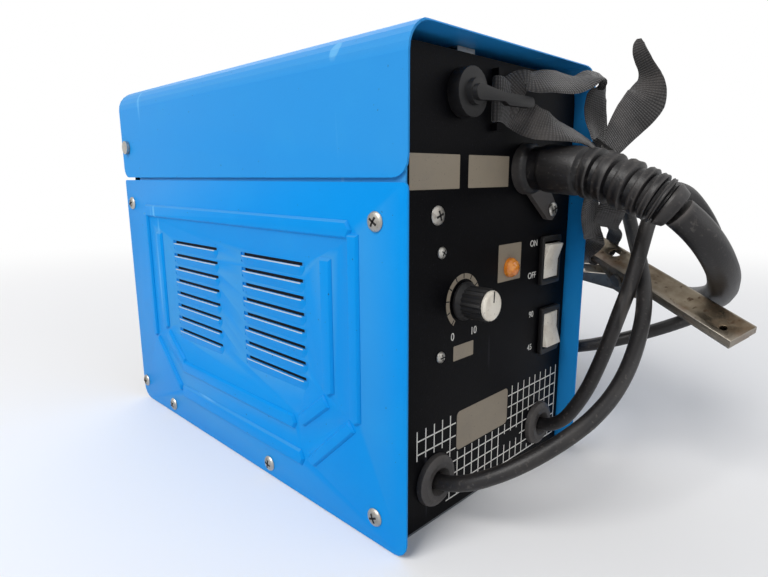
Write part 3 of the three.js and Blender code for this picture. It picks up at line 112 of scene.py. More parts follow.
class Paint:
    """A material built from a few named layers over one Principled shader."""

    def __init__(self, name, colour, roughness=0.5, metallic=0.0, **sockets):
        self.material = bpy.data.materials.new(name)
        self.material.use_nodes = True
        self.tree = self.material.node_tree
        self.shader = self.tree.nodes["Principled BSDF"]
        self.shader.inputs["Metallic"].default_value = metallic
        for socket, value in sockets.items():
            self.shader.inputs[socket.replace("_", " ")].default_value = value
        self.place = self.node("ShaderNodeTexCoord").outputs["Object"]
        self.colour = (*linear(*colour), 1)
        self.roughness = roughness
        self.height = None

    def node(self, kind, **settings):
        made = self.tree.nodes.new(kind)
        for key, value in settings.items():
            setattr(made, key, value)
        return made

    def feed(self, source, socket):
        """Links an output to a socket, or sets a plain value on it."""
        if isinstance(source, bpy.types.NodeSocket):
            self.tree.links.new(source, socket)
        else:
            socket.default_value = source

    def stretched(self, scale):
        """Object coordinates stretched by a factor along each axis."""
        made = self.node("ShaderNodeMapping")
        self.feed(self.place, made.inputs["Vector"])
        made.inputs["Scale"].default_value = scale
        return made.outputs[0]

    def noise(self, scale, detail=4, low=0.35, high=0.65, stretch=(1, 1, 1)):
        """Noise with features about 1/scale metres across, as a mask from 0 to 1."""
        made = self.node("ShaderNodeTexNoise")
        self.feed(self.stretched(stretch), made.inputs["Vector"])
        made.inputs["Scale"].default_value = scale
        made.inputs["Detail"].default_value = detail
        return self.ramp(made.outputs["Fac"], low, high)

    def ramp(self, source, low, high):
        """Spreads the values between low and high over 0 to 1."""
        made = self.node("ShaderNodeMapRange", clamp=True)
        self.feed(source, made.inputs["Value"])
        made.inputs["From Min"].default_value = low
        made.inputs["From Max"].default_value = high
        return made.outputs[0]

    def math(self, operation, a, b):
        made = self.node("ShaderNodeMath", operation=operation)
        self.feed(a, made.inputs[0])
        self.feed(b, made.inputs[1])
        return made.outputs[0]

    def wave(self, scale, **settings):
        """Bands across the object, or rings round an axis of it."""
        made = self.node("ShaderNodeTexWave", **settings)
        self.feed(self.place, made.inputs["Vector"])
        made.inputs["Scale"].default_value = scale
        return made.outputs["Fac"]

    def edges(self, low=0.52, high=0.6):
        """Mask of the sharp outer edges, where a finish wears."""
        made = self.node("ShaderNodeNewGeometry")
        return self.ramp(made.outputs["Pointiness"], low, high)

    def stain(self, mask, colour, amount=1.0, roughness=None):
        """Mixes a colour, and a roughness, in where the mask is 1."""
        share = self.math("MULTIPLY", mask, amount)
        mix = self.node("ShaderNodeMix", data_type="RGBA")
        self.feed(share, mix.inputs["Factor"])
        self.feed(self.colour, mix.inputs["A"])
        mix.inputs["B"].default_value = (*linear(*colour), 1)
        self.colour = mix.outputs["Result"]
        if roughness is not None:
            blend = self.node("ShaderNodeMix", data_type="FLOAT")
            self.feed(share, blend.inputs["Factor"])
            self.feed(self.roughness, blend.inputs["A"])
            blend.inputs["B"].default_value = roughness
            self.roughness = blend.outputs["Result"]
        return self

    def relief(self, mask, depth):
        """Raises the surface by depth metres where the mask is 1."""
        raised = self.math("MULTIPLY", mask, depth)
        self.height = raised if self.height is None else self.math("ADD", self.height, raised)
        return self

    def done(self):
        self.feed(self.colour, self.shader.inputs["Base Color"])
        self.feed(self.roughness, self.shader.inputs["Roughness"])
        if self.height is not None:
            bump = self.node("ShaderNodeBump")
            bump.inputs["Distance"].default_value = 1.0
            self.feed(self.height, bump.inputs["Height"])
            self.feed(bump.outputs["Normal"], self.shader.inputs["Normal"])
        return self.material


def blue_enamel():
    paint = Paint("blue_enamel", (0, 137, 214), 0.36, Specular_IOR_Level=0.08)
    paint.stain(paint.noise(7, 2, 0.3, 0.75), (0, 126, 206), 0.5, 0.38)
    paint.stain(paint.noise(34, 5, 0.52, 0.72), (24, 146, 214), 0.2, 0.45)
    scratch = paint.noise(60, 2, 0.70, 0.73, (1, 1, 0.05))
    slanting = paint.noise(75, 2, 0.715, 0.735, (1, 0.06, 1))
    paint.stain(scratch, (126, 196, 236), 0.5, 0.5).stain(slanting, (150, 206, 238), 0.45, 0.5)
    paint.stain(paint.noise(420, 2, 0.74, 0.76), (40, 60, 80), 0.7, 0.6)
    paint.stain(paint.edges(0.54, 0.62), (88, 150, 190), 0.35, 0.45)
    return paint.relief(paint.noise(900, 2, 0.3, 0.7), 0.00002).relief(scratch, -0.00002).done()


def black_enamel():
    paint = Paint("black_enamel", (4, 4, 6), 0.42, Specular_IOR_Level=0.06)
    paint.stain(paint.noise(16, 5, 0.42, 0.7), (8, 8, 11), 0.7, 0.5)
    paint.stain(paint.noise(1500, 2, 0.68, 0.72), (54, 54, 60), 0.35, 0.7)
    paint.stain(paint.noise(70, 3, 0.7, 0.74, (1, 1, 0.06)), (70, 70, 78), 0.4)
    return paint.relief(paint.noise(1100, 3, 0.3, 0.7), 0.00003).done()


def zinc(name="zinc_plate", rust=0.5, colour=(176, 174, 168), tarnish=(132, 129, 122)):
    paint = Paint(name, colour, 0.36, 1.0)
    paint.stain(paint.noise(90, 5, 0.4, 0.66), tarnish, 0.8, 0.52)
    paint.stain(paint.noise(55, 6, 0.56 - 0.08 * rust, 0.68), (104, 74, 48), rust, 0.8)
    paint.stain(paint.noise(240, 4, 0.6, 0.68), (70, 47, 32), 0.7 * rust, 0.85)
    paint.stain(paint.edges(0.53, 0.6), (206, 203, 196), 0.5, 0.3)
    return paint.relief(paint.noise(700, 4, 0.3, 0.75), 0.00006).done()


def sheet_steel():
    paint = Paint("sheet_steel", (122, 126, 130), 0.38, 1.0)
    paint.stain(paint.noise(24, 4, 0.35, 0.7), (96, 99, 102), 0.7, 0.5)
    paint.stain(paint.noise(300, 3, 0.6, 0.7, (1, 0.1, 1)), (146, 149, 152), 0.4)
    return paint.relief(paint.noise(800, 3, 0.3, 0.7), 0.00003).done()


def plastic(name, colour, dust, roughness=0.45):
    """A moulded plastic with a fine grain, paler dust and rubbed edges."""
    paint = Paint(name, colour, roughness, Specular_IOR_Level=0.3)
    paint.stain(paint.noise(26, 5, 0.48, 0.74), dust, 0.35, min(1, roughness + 0.2))
    paint.stain(paint.noise(1300, 2, 0.66, 0.71), dust, 0.5, 0.8)
    paint.stain(paint.edges(), dust, 0.4)
    return paint.relief(paint.noise(1900, 3, 0.3, 0.7), 0.000025).done()


def rubber(name, colour=(15, 14, 16), dust=(58, 54, 52)):
    """Old rubber, dusty in its hollows and scuffed grey on its ridges."""
    paint = Paint(name, colour, 0.4, Specular_IOR_Level=0.35)
    paint.stain(paint.noise(38, 6, 0.48, 0.74), dust, 0.35, 0.7)
    paint.stain(paint.noise(420, 4, 0.6, 0.7), (96, 91, 87), 0.3, 0.8)
    paint.stain(paint.noise(60, 3, 0.68, 0.72, (1, 1, 0.1)), (126, 121, 116), 0.3, 0.8)
    paint.stain(paint.edges(0.53, 0.6), (104, 99, 96), 0.45, 0.6)
    return paint.relief(paint.noise(950, 4, 0.3, 0.7), 0.00005).done()


def webbing():
    """Coarse black webbing: ribs across the strap, threads along it, dust on top."""
    paint = Paint("strap_webbing", (14, 13, 14), 0.92, Sheen_Weight=0.25, Sheen_Roughness=0.5)
    layout = paint.node("ShaderNodeUVMap", uv_map="weave").outputs[0]

    def wave(direction, scale):
        made = paint.node("ShaderNodeTexWave", bands_direction=direction)
        paint.feed(layout, made.inputs["Vector"])
        made.inputs["Scale"].default_value = scale
        made.inputs["Distortion"].default_value = 0.4
        made.inputs["Detail Scale"].default_value = 1.5
        return made.outputs["Fac"]

    ribs, threads = wave("X", 210), wave("Y", 170)
    half_threads = paint.math("MULTIPLY", threads, 0.5)
    weave = paint.math("MULTIPLY", ribs, paint.math("ADD", half_threads, 0.5))
    paint.stain(weave, (62, 59, 58), 0.85)
    paint.stain(paint.noise(48, 5, 0.46, 0.72), (92, 87, 84), 0.4)
    return paint.relief(weave, 0.00035).relief(paint.noise(1500, 3, 0.3, 0.7), 0.00008).done()


def flat_print(name, colour, wear=(120, 112, 104)):
    """Printing or a label, a little worn and yellowed."""
    paint = Paint(name, colour, 0.5)
    paint.stain(paint.noise(70, 5, 0.5, 0.75), wear, 0.3, 0.6)
    paint.stain(paint.noise(900, 3, 0.66, 0.72), (60, 58, 56), 0.4)
    return paint.relief(paint.noise(1400, 2, 0.3, 0.7), 0.00001).done()


def ivory():
    paint = Paint("ivory_plastic", (226, 219, 205), 0.32, Coat_Weight=0.15)
    paint.stain(paint.noise(120, 5, 0.46, 0.74), (176, 160, 140), 0.5, 0.5)
    paint.stain(paint.noise(800, 3, 0.64, 0.7), (96, 84, 72), 0.5, 0.6)
    paint.stain(paint.edges(0.53, 0.6), (240, 236, 226), 0.5)
    return paint.relief(paint.noise(1700, 2, 0.3, 0.7), 0.00002).done()


def amber():
    paint = Paint("amber_lens", (214, 120, 20), 0.16, Coat_Weight=0.6, IOR=1.5)
    paint.stain(paint.noise(260, 3, 0.45, 0.65), (240, 158, 44), 0.6)
    rings = paint.wave(300, wave_type="RINGS", rings_direction="Y")
    return paint.relief(rings, 0.00004).done()


def metal(name, colour, roughness, tarnish):
    paint = Paint(name, colour, roughness, 1.0)
    paint.stain(paint.noise(130, 5, 0.42, 0.7), tarnish, 0.75, min(1, roughness + 0.25))
    paint.stain(paint.edges(), tuple(min(255, c + 30) for c in colour), 0.4)
    return paint.relief(paint.noise(1200, 3, 0.3, 0.7), 0.00003).done()


def winding(name, colour):
    """Enamelled wire laid in fine parallel turns."""
    paint = Paint(name, colour, 0.28, 0.6, Coat_Weight=0.5)
    turns = paint.wave(190, bands_direction="Y")
    paint.stain(turns, tuple(c // 2 for c in colour), 0.7)
    paint.stain(paint.noise(60, 4, 0.5, 0.7), (60, 30, 14), 0.4)
    return paint.relief(turns, 0.0004).done()


def lamination():
    paint = Paint("core_laminations", (74, 75, 78), 0.5, 0.8)
    leaves = paint.wave(320, bands_direction="Y")
    paint.stain(leaves, (40, 41, 43), 0.8, 0.7)
    paint.stain(paint.noise(70, 5, 0.55, 0.7), (94, 60, 40), 0.5, 0.8)
    return paint.relief(leaves, 0.0003).done()


def circuit():
    paint = Paint("circuit_board", (22, 92, 48), 0.32, Coat_Weight=0.3)
    tracks = paint.node("ShaderNodeTexBrick", offset=0.5)
    paint.feed(paint.place, tracks.inputs["Vector"])
    tracks.inputs["Scale"].default_value = 90
    tracks.inputs["Mortar Size"].default_value = 0.03
    paint.stain(tracks.outputs["Fac"], (120, 128, 70), 0.7)
    return paint.relief(tracks.outputs["Fac"], 0.00008).done()


PAINTS = {
    "blue_paint": blue_enamel(),
    "black_paint": black_enamel(),
    "zinc_steel": zinc(),
    "grey_steel": sheet_steel(),
    "dark_plastic": plastic("dark_plastic", (10, 10, 12), (46, 44, 43)),
    "ivory_plastic": ivory(),
    "amber_lens": amber(),
    "red_plastic": plastic("red_plastic", (168, 38, 26), (198, 120, 108)),
    "black_rubber": rubber("black_rubber"),
    "cable_sheath": rubber("cable_sheath", (17, 16, 18), (66, 62, 59)),
    "webbing": webbing(),
    "lamination": lamination(),
    "enamelled_wire": winding("enamelled_wire", (164, 74, 30)),
    "bare_aluminium": metal("bare_aluminium", (190, 192, 196), 0.34, (138, 140, 144)),
    "circuit_laminate": circuit(),
    "torch_brass": metal("torch_brass", (186, 148, 84), 0.3, (118, 88, 50)),
    "copper_tip": metal("copper_tip", (190, 104, 62), 0.32, (112, 62, 40)),
    "welding_steel": winding("welding_steel", (150, 146, 140)),
}
LABEL = flat_print("label_print", (138, 127, 110))
RUSTY = zinc("rusty_zinc", 0.95, (128, 118, 102), (92, 78, 62))
# Pale grey-blue for the strips of painted highlight on the louvre hoods' upward faces.
LOUVRE_HIGHLIGHT = flat_print("louvre_painted_highlight", (176, 190, 200), (120, 150, 176))
# Dark plastic for the printed dial ticks and pointer, and for painted shade in the screw recesses and behind
# the louvre slits.
DARK_PRINT_AND_SHADE = plastic("dark_print_and_painted_shade", (9, 9, 11), (40, 38, 37), 0.7)
WHITE = flat_print("white_print", (226, 224, 218), (150, 148, 144))


# ---------------------------------------------------------------- mesh helpers
def shade_smooth(mesh, degrees):
    """Smooth shading, except at edges sharper than the angle."""
    mesh.polygons.foreach_set("use_smooth", [True] * len(mesh.polygons))
    mesh.set_sharp_from_angle(angle=math.radians(degrees))


def put(name, mesh, material, body=CASE, smooth=35):
    """Adds a mesh as a piece that rides on a body, with the material given."""
    piece = add(name, mesh)
    mesh.materials.clear()
    mesh.materials.append(material)
    if smooth:
        shade_smooth(mesh, smooth)
    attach(piece, body)
    return piece


def mesh_of(name, work):
    """Turns a bmesh into a mesh with its faces turned outwards."""
    bmesh.ops.recalc_face_normals(work, faces=work.faces)
    mesh = bpy.data.meshes.new(name)
    work.to_mesh(mesh)
    work.free()
    return mesh


def bridge(work, rings):
    """Joins rings of vertices into one body, with a flat face at each end."""
    for near, far in zip(rings, rings[1:]):
        for i in range(len(near)):
            j = (i + 1) % len(near)
            work.faces.new((near[i], near[j], far[j], far[i]))
    work.faces.new(rings[0][::-1])
    work.faces.new(rings[-1])


def lathe(work, centre, axis, profile, sides):
    """Turns a profile of (radius, height) in metres about an axis, and closes both ends flat."""
    turn = Vector(axis).to_track_quat("Z", "Y").to_matrix()
    rings = []
    for radius, height in profile:
        ring = []
        for i in range(sides):
            angle = 2 * math.pi * i / sides
            local = Vector((radius * math.cos(angle), radius * math.sin(angle), height))
            ring.append(work.verts.new(Vector(centre) + turn @ local))
        rings.append(ring)
    bridge(work, rings)


def slab(work, corners, thickness, face):
    """A flat plate with an outline of (x, z), standing out towards -Y from the plane y = face."""
    near = [work.verts.new((x, face - thickness, z)) for x, z in corners]
    far = [work.verts.new((x, face, z)) for x, z in corners]
    work.faces.new(near)
    work.faces.new(far[::-1])
    for i in range(len(corners)):
        j = (i + 1) % len(corners)
        work.faces.new((near[j], near[i], far[i], far[j]))


def rounded_box(x0, x1, z0, z1, radius):
    """Outline of a rectangle with rounded corners, in millimetres in and metres out."""
    steps = 5
    outline = []
    for x, z, start in ((x1, z1, 0), (x0, z1, 90), (x0, z0, 180), (x1, z0, 270)):
        middle_x = x - radius * (1 if x == x1 else -1)
        middle_z = z - radius * (1 if z == z1 else -1)
        for i in range(steps + 1):
            angle = math.radians(start + 90 * i / steps)
            corner_x = middle_x + radius * math.cos(angle)
            corner_z = middle_z + radius * math.sin(angle)
            outline.append((corner_x * MM, corner_z * MM))
    return outline


def refined(node, width, material):
    """A copy of a CAD node with its sharp edges rounded; it replaces the node."""
    flat, limit = math.radians(0.6), math.radians(32)
    mesh = frame["nodes"][node].data.copy()
    work = bmesh.new()
    work.from_mesh(mesh)
    bmesh.ops.remove_doubles(work, verts=work.verts, dist=1e-6)
    bmesh.ops.dissolve_limit(work, angle_limit=flat, verts=work.verts, edges=work.edges)
    sharp = [e for e in work.edges if e.is_manifold and e.calc_face_angle(0) > limit]
    bmesh.ops.bevel(
        work,
        geom=sharp,
        offset=width,
        offset_type="OFFSET",
        segments=2,
        profile=0.5,
        affect="EDGES",
        clamp_overlap=True,
    )
    work.to_mesh(mesh)
    work.free()
    piece = put(f"{node}_shown", mesh, material, frame["nodes"][node]["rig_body"])
    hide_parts(node)


# ---------------------------------------------------------------- cords
def smooth_route(points, steps):
    """Points of a centripetal Catmull-Rom curve through the route, steps to each of its spans."""
    ends = [2 * points[0] - points[1], *points, 2 * points[-1] - points[-2]]
    line = []
    for a, b, c, d in zip(ends, ends[1:], ends[2:], ends[3:]):
        t1 = (b - a).length ** 0.5
        t2 = t1 + (c - b).length ** 0.5
        t3 = t2 + (d - c).length ** 0.5
        for i in range(steps):
            t = t1 + (t2 - t1) * i / steps
            ab = a * ((t1 - t) / t1) + b * (t / t1)
            bc = b * ((t2 - t) / (t2 - t1)) + c * ((t - t1) / (t2 - t1))
            cd = c * ((t3 - t) / (t3 - t2)) + d * ((t - t2) / (t3 - t2))
            abc = ab * ((t2 - t) / t2) + bc * (t / t2)
            bcd = bc * ((t3 - t) / (t3 - t1)) + cd * ((t - t1) / (t3 - t1))
            line.append(abc * ((t2 - t) / (t2 - t1)) + bcd * ((t - t1) / (t2 - t1)))
    line.append(points[-1])
    return line


def cable(name, points, diameter):
    """A round sheath along a route, as a curve of one open spline."""
    line = smooth_route(points, 4)
    data = bpy.data.curves.new(name, "CURVE")
    data.dimensions = "3D"
    data.bevel_depth = diameter / 2 - 0.00005
    data.bevel_resolution = 5
    data.use_fill_caps = True
    spline = data.splines.new("POLY")
    spline.points.add(len(line) - 1)
    for knot, place in zip(spline.points, line):
        knot.co = (*place, 1)
    data.materials.append(PAINTS["cable_sheath"])
    piece = add(name, data)
    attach(piece, CASE)
    return piece


def coil_points(centre, radius, low, diameter, turns, start, spin, slack):
    """A flat coil in two layers, which spirals in and out again, straight for a diameter at each end."""
    steps_each_turn = 24
    pitch = diameter + slack
    count = round(turns * steps_each_turn)

    def at(i):
        turn = i / count * turns
        r = radius - pitch * min(turn, turns - turn)
        share = min(1, max(0, (turn - turns / 2 + 0.25) / 0.5))
        climb = share * share * (3 - 2 * share)
        angle = start + spin * turn * 2 * math.pi
        x, y = centre[0] + r * math.cos(angle), centre[1] + r * math.sin(angle)
        return mm(x, y, low + pitch * climb)

    def along(angle, way):
        return way * spin * diameter * mm(-math.sin(angle), math.cos(angle), 0)

    turns_line = [at(i) for i in range(count + 1)]
    finish = start + spin * turns * 2 * math.pi
    return [turns_line[0] + along(start, -1), *turns_line, turns_line[-1] + along(finish, 1)]


# The hose from the end of its boot, past the right side of the case, down to its coil.
HOSE_ROUTE = [
    mm(30.8, -247.7, 184.1), mm(34, -252.3, 179.4), mm(38.2, -256.2, 174.3),
    mm(43.8, -259.5, 168.3), mm(51.8, -261.9, 161.1), mm(61.7, -262.9, 153.6),
    mm(73.4, -262.1, 146.2), mm(87.9, -259.1, 138.3), mm(102.3, -254.2, 131.2),
    mm(115.9, -247.5, 125), mm(129.5, -238.5, 119.8), mm(143.3, -226.8, 115.8),
    mm(154.7, -215.4, 114), mm(164.5, -204.4, 113.6), mm(174.3, -192.6, 114.1),
    mm(186.8, -176.2, 115.9), mm(199.3, -158.7, 118.2), mm(215, -135, 120.5),
    mm(236, -101, 119), mm(255, -65, 112), mm(272, -27, 96),
    mm(289, 10, 70), mm(300, 42, 42), mm(304.4, 62, 24.5),
    mm(305.2, 79, 14.4), mm(305, 92, 10.6), mm(305, 101, 10),
    mm(305, 107, 10),
]
# From the top of the coil into the torch handle.
HOSE_END_ROUTE = [
    mm(190.1, 222, 28.3), mm(184, 222, 28.3), mm(171, 222.5, 26),
    mm(158, 223, 22), mm(150.5, 223, 20.4), mm(146.6, 223, 20),
]
# Out of its grommet, up and over in a loop before the panel, and back along the right side.
MAINS_ROUTE = [
    mm(61, -149, 25), mm(61, -160, 25), mm(61, -168, 27.4),
    mm(60.6, -177, 34.6), mm(60, -185, 46.6), mm(59.8, -192.5, 61.6),
    mm(60.2, -199, 80), mm(61.4, -204, 98), mm(62.3, -208.4, 115.2),
    mm(64.4, -211.9, 130.3), mm(67.3, -214.4, 145.3), mm(71.5, -215.8, 161.2),
    mm(78, -216.3, 175), mm(88, -216.8, 186.4), mm(101, -217.8, 192.6),
    mm(116, -219.6, 194.2), mm(132, -222, 190.6), mm(147, -225, 182.6),
    mm(160, -229, 171), mm(170, -233, 157), mm(174.5, -236, 141),
    mm(172, -237, 125.5), mm(163.8, -235.4, 111.6), mm(150.6, -229, 102.2),
    mm(137, -219, 96.5), mm(126, -205, 90), mm(118, -189, 83),
    mm(112, -171, 76.5), mm(109, -152, 70), mm(108.4, -134, 58.5),
    mm(108.8, -118, 44.8), mm(110, -104, 31.5), mm(112.2, -91, 19.6),
    mm(114.8, -79.5, 11.2), mm(117, -70, 7), mm(118, -63, 6),
    mm(118, -59, 6),
]
# From the top of the coil into the plug that lies on it.
MAINS_END_ROUTE = [
    mm(135.7, -4.5, 16.2), mm(138.6, -0.5, 16.2), mm(148.6, 8.2, 18.6),
    mm(166, 13, 25.6), mm(184, 12.4, 31), mm(200, 6.4, 35.8),
    mm(212.6, -4, 39.2), mm(219.8, -16, 40.8), mm(222, -24, 41),
    mm(222, -28, 41),
]
# Out of its grommet, behind the other leads and back into the handle end of the clamp.
EARTH_ROUTE = [
    mm(-56.4, -149, 28), mm(-56.4, -160, 28), mm(-55.2, -168, 29.6),
    mm(-52.2, -178.2, 33.3), mm(-48, -187.3, 38.2), mm(-41.2, -197.4, 44.6),
    mm(-33.3, -205.9, 51.1), mm(-24.1, -213.2, 57.6), mm(-14.1, -219.7, 64.5),
    mm(-3.7, -224.7, 71.4), mm(10.7, -228.8, 81.4), mm(26.9, -229.9, 93.4),
    mm(44.6, -228, 107.2), mm(60.4, -224.2, 120.3), mm(75.4, -217.8, 133),
    mm(90.1, -208.8, 147), mm(104.3, -198.8, 159.6), mm(115.3, -189.4, 174.6),
    mm(123, -181.2, 191), mm(127.5, -173, 208), mm(129, -161.5, 224),
    mm(128.5, -147, 235), mm(127.5, -129.5, 239.2), mm(127, -113.8, 236.2),
    mm(127.2, -101.1, 228), mm(128.2, -92.8, 215.2), mm(129.8, -90, 201),
    mm(131.8, -92.8, 186.8), mm(133.9, -101.1, 175), mm(134.4, -112.5, 167.8),
    mm(131.4, -124.6, 163.1), mm(127.8, -134.2, 159.2), mm(124.3, -143.1, 156.1),
    mm(120.9, -151.9, 153),
]
HOSE_DIAMETER = 0.0175
LEAD_DIAMETER = 0.0095
HOSE_CENTRE = (208, 125)
MAINS_CENTRE = (180, -49)
HOSE_COIL = coil_points(
    HOSE_CENTRE, radius=97, low=10, diameter=17.5, turns=2.25, start=0, spin=1, slack=0.8
)
MAINS_COIL = coil_points(
    MAINS_CENTRE, radius=62, low=6, diameter=9.5, turns=4.1, start=math.pi, spin=-1, slack=0.7
)


def cords():
    """The three leads, each one sheath over its CAD stretches and coil."""
    hose = cable("torch_hose_sheath", HOSE_ROUTE + HOSE_COIL + HOSE_END_ROUTE, HOSE_DIAMETER)
    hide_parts("torch_hose", "torch_hose_coil", "torch_hose_end")
    mains = cable("mains_lead_sheath", MAINS_ROUTE + MAINS_COIL + MAINS_END_ROUTE, LEAD_DIAMETER)
    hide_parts("mains_lead", "mains_lead_coil", "mains_lead_end")
    earth = cable("earth_lead_sheath", EARTH_ROUTE, LEAD_DIAMETER)
    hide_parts("earth_lead")


# ---------------------------------------------------------------- boot and strap
HALF_WEB = 0.0125  # half the webbing's width
WEB_LIFT = 0.00078  # half its thickness
# The middle line of the boot, from the panel to the hose.
BOOT_ROUTE = [
    mm(29, -155.4, 207.6), mm(29, -175, 207.6), mm(28.3, -195, 205.6),
    mm(27.3, -212, 201.6), mm(26.9, -229.5, 194.9), mm(27.5, -238.3, 190.7),
    mm(28.6, -242.6, 188.1), mm(30.2, -246.4, 185.2),
]
# Stations of the webbing: place in millimetres, direction of its width, and the share of
# its full width that it shows there, where it is folded or bunched.
STRAP_SLING = [
    (60.1, -189.4, 211, 0.97, 0.21, 0.09, 0.68), (66, -191.9, 208.3, 1, 0.04, 0.04, 0.72),
    (68.7, -193.9, 200.5, 0.98, -0.2, -0.01, 0.8), (69.4, -195.5, 192.3, 0.9, -0.43, -0.01, 0.8),
    (71.1, -195.5, 183.3, 0.83, -0.54, -0.14, 0.8), (79.2, -190.1, 175.2, 0.8, -0.58, -0.1, 0.74),
    (91, -184.4, 169.4, 0.5, -0.85, -0.1, 0.62), (107, -182.4, 166.2, 0, -0.9, -0.42, 0.54),
    (117.3, -179.5, 161.3, -0.35, -0.88, -0.31, 0.5), (120.6, -177, 157.1, -0.35, -0.88, -0.31, 0.5),
    (123.1, -175.2, 152.5, -0.35, -0.88, -0.31, 0.5), (122.6, -173.2, 147.5, -0.35, -0.88, -0.31, 0.5),
    (115.8, -169, 143.2, -0.35, -0.88, -0.31, 0.5), (107.9, -165.2, 140.9, -0.35, -0.88, -0.31, 0.5),
    (103.1, -164.6, 143.5, -0.35, -0.88, -0.31, 0.5), (99.6, -166.3, 148.1, -0.35, -0.88, -0.31, 0.5),
    (97, -174.8, 157, 0.3, -0.8, -0.5, 0.5), (91.5, -176.6, 159.8, 0.6, -0.7, -0.35, 0.5),
    (86, -177, 162.8, 0.9, -0.4, -0.1, 0.5), (80, -178.6, 167.4, 0.98, -0.2, 0.03, 0.56),
    (70.7, -181.4, 175.9, 0.99, -0.12, -0.01, 0.64), (63.1, -184.2, 184.6, 1, -0.08, -0.04, 0.68),
    (60.2, -186.1, 193, 1, -0.01, -0.02, 0.68), (60.8, -187.2, 201.1, 1, 0.07, -0.01, 0.68),
    (60.2, -187.7, 207.7, 0.99, 0.14, 0.04, 0.68),
]
STRAP_LOOP = [
    (49.6, -194.2, 217.9, 0.95, 0.3, 0.09, 0.8), (41.4, -187.6, 224.4, 0.87, 0.43, 0.22, 0.78),
    (34.7, -184.4, 227.4, 0.84, 0.44, 0.3, 0.86), (26.6, -181.3, 229.4, 0.78, 0.43, 0.45, 0.9),
    (19, -176.2, 231.6, 0.5, 0.36, 0.78, 0.86), (15, -169.5, 233.8, 0.25, 0.2, 0.95, 0.78),
    (11, -163.6, 237.4, 0.06, 0.06, 1, 0.8), (4.5, -160.4, 241.6, 0, 0, 1, 0.88),
    (-3, -160.2, 244.8, 0, 0, 1, 0.96), (-8, -160.5, 246, 0, 0, 1, 1),
    (-11.4, -160.1, 246, 0, 0, 1, 1), (-12.6, -158.7, 246, 0, 0, 1, 1),
    (-11.4, -157.2, 246, 0, 0, 1, 1), (-8, -157.05, 246, 0, 0, 1, 1),
    (-3.6, -158.1, 246, 0, 0, 1, 0.93), (0.5, -160, 249.4, 0.03, 0.03, 1, 0.8),
    (4.2, -161.6, 254.4, 0.1, 0.1, 1, 0.62), (8.5, -164, 258, 0.35, 0.25, 0.9, 0.52),
    (13.4, -168, 256.8, 0.58, 0.38, 0.72, 0.7), (21.5, -172.8, 257.6, 0.69, 0.41, 0.6, 0.92),
    (34.7, -177.7, 258, 0.73, 0.41, 0.55, 0.96), (46.7, -180.5, 260.1, 0.82, 0.42, 0.38, 0.96),
    (58.8, -183.3, 262.7, 0.89, 0.39, 0.24, 0.88), (65, -184.7, 259.6, 0.97, 0.25, 0.04, 0.8),
    (65.2, -182.8, 251.7, 0.99, -0.14, 0.02, 0.88), (63.3, -183.5, 242.5, 0.98, -0.19, 0.06, 0.88),
    (59.2, -186.6, 233, 0.99, -0.13, 0.05, 0.84), (53.6, -190.7, 224.1, 0.99, 0.13, 0.04, 0.8),
]
STRAP_TAIL = [
    (51.2, -196.8, 214.6, 0.99, -0.07, -0.1, 0.6), (57.2, -197.9, 221.9, 0.96, -0.24, -0.14, 0.72),
    (62.8, -198.9, 228, 0.94, -0.3, -0.16, 0.88), (71, -201.6, 236.9, 0.88, -0.45, -0.17, 1),
    (77.2, -204.5, 243.6, 0.73, -0.64, -0.23, 1), (82.5, -206.5, 250.1, 0.6, -0.74, -0.29, 1),
    (85.8, -206.5, 257.4, 0.3, -0.85, -0.35, 0.8), (86.8, -205.9, 263.3, 0.1, -0.9, -0.35, 0.58),
    (85.7, -204.6, 268, 0, -0.92, -0.35, 0.5), (83.8, -202.3, 273.4, 0, -0.92, -0.35, 0.44),
    (82.9, -200, 278.9, 0, -0.92, -0.35, 0.36), (83.1, -199, 283.3, 0, -0.92, -0.35, 0.27),
    (83.8, -198.8, 286.1, 0, -0.92, -0.35, 0.12),
]


def swept(work, line, radii):
    """A round body along a line, with a radius at each of its points."""
    sides = 28
    side = (line[1] - line[0]).orthogonal().normalized()
    rings = []
    for i, (place, radius) in enumerate(zip(line, radii)):
        ahead = (line[min(i + 1, len(line) - 1)] - line[max(i - 1, 0)]).normalized()
        side = (side - ahead * side.dot(ahead)).normalized()
        other = ahead.cross(side)
        ring = []
        for k in range(sides):
            angle = 2 * math.pi * k / sides
            outward = side * math.cos(angle) + other * math.sin(angle)
            ring.append(work.verts.new(place + outward * radius))
        rings.append(ring)
    bridge(work, rings)


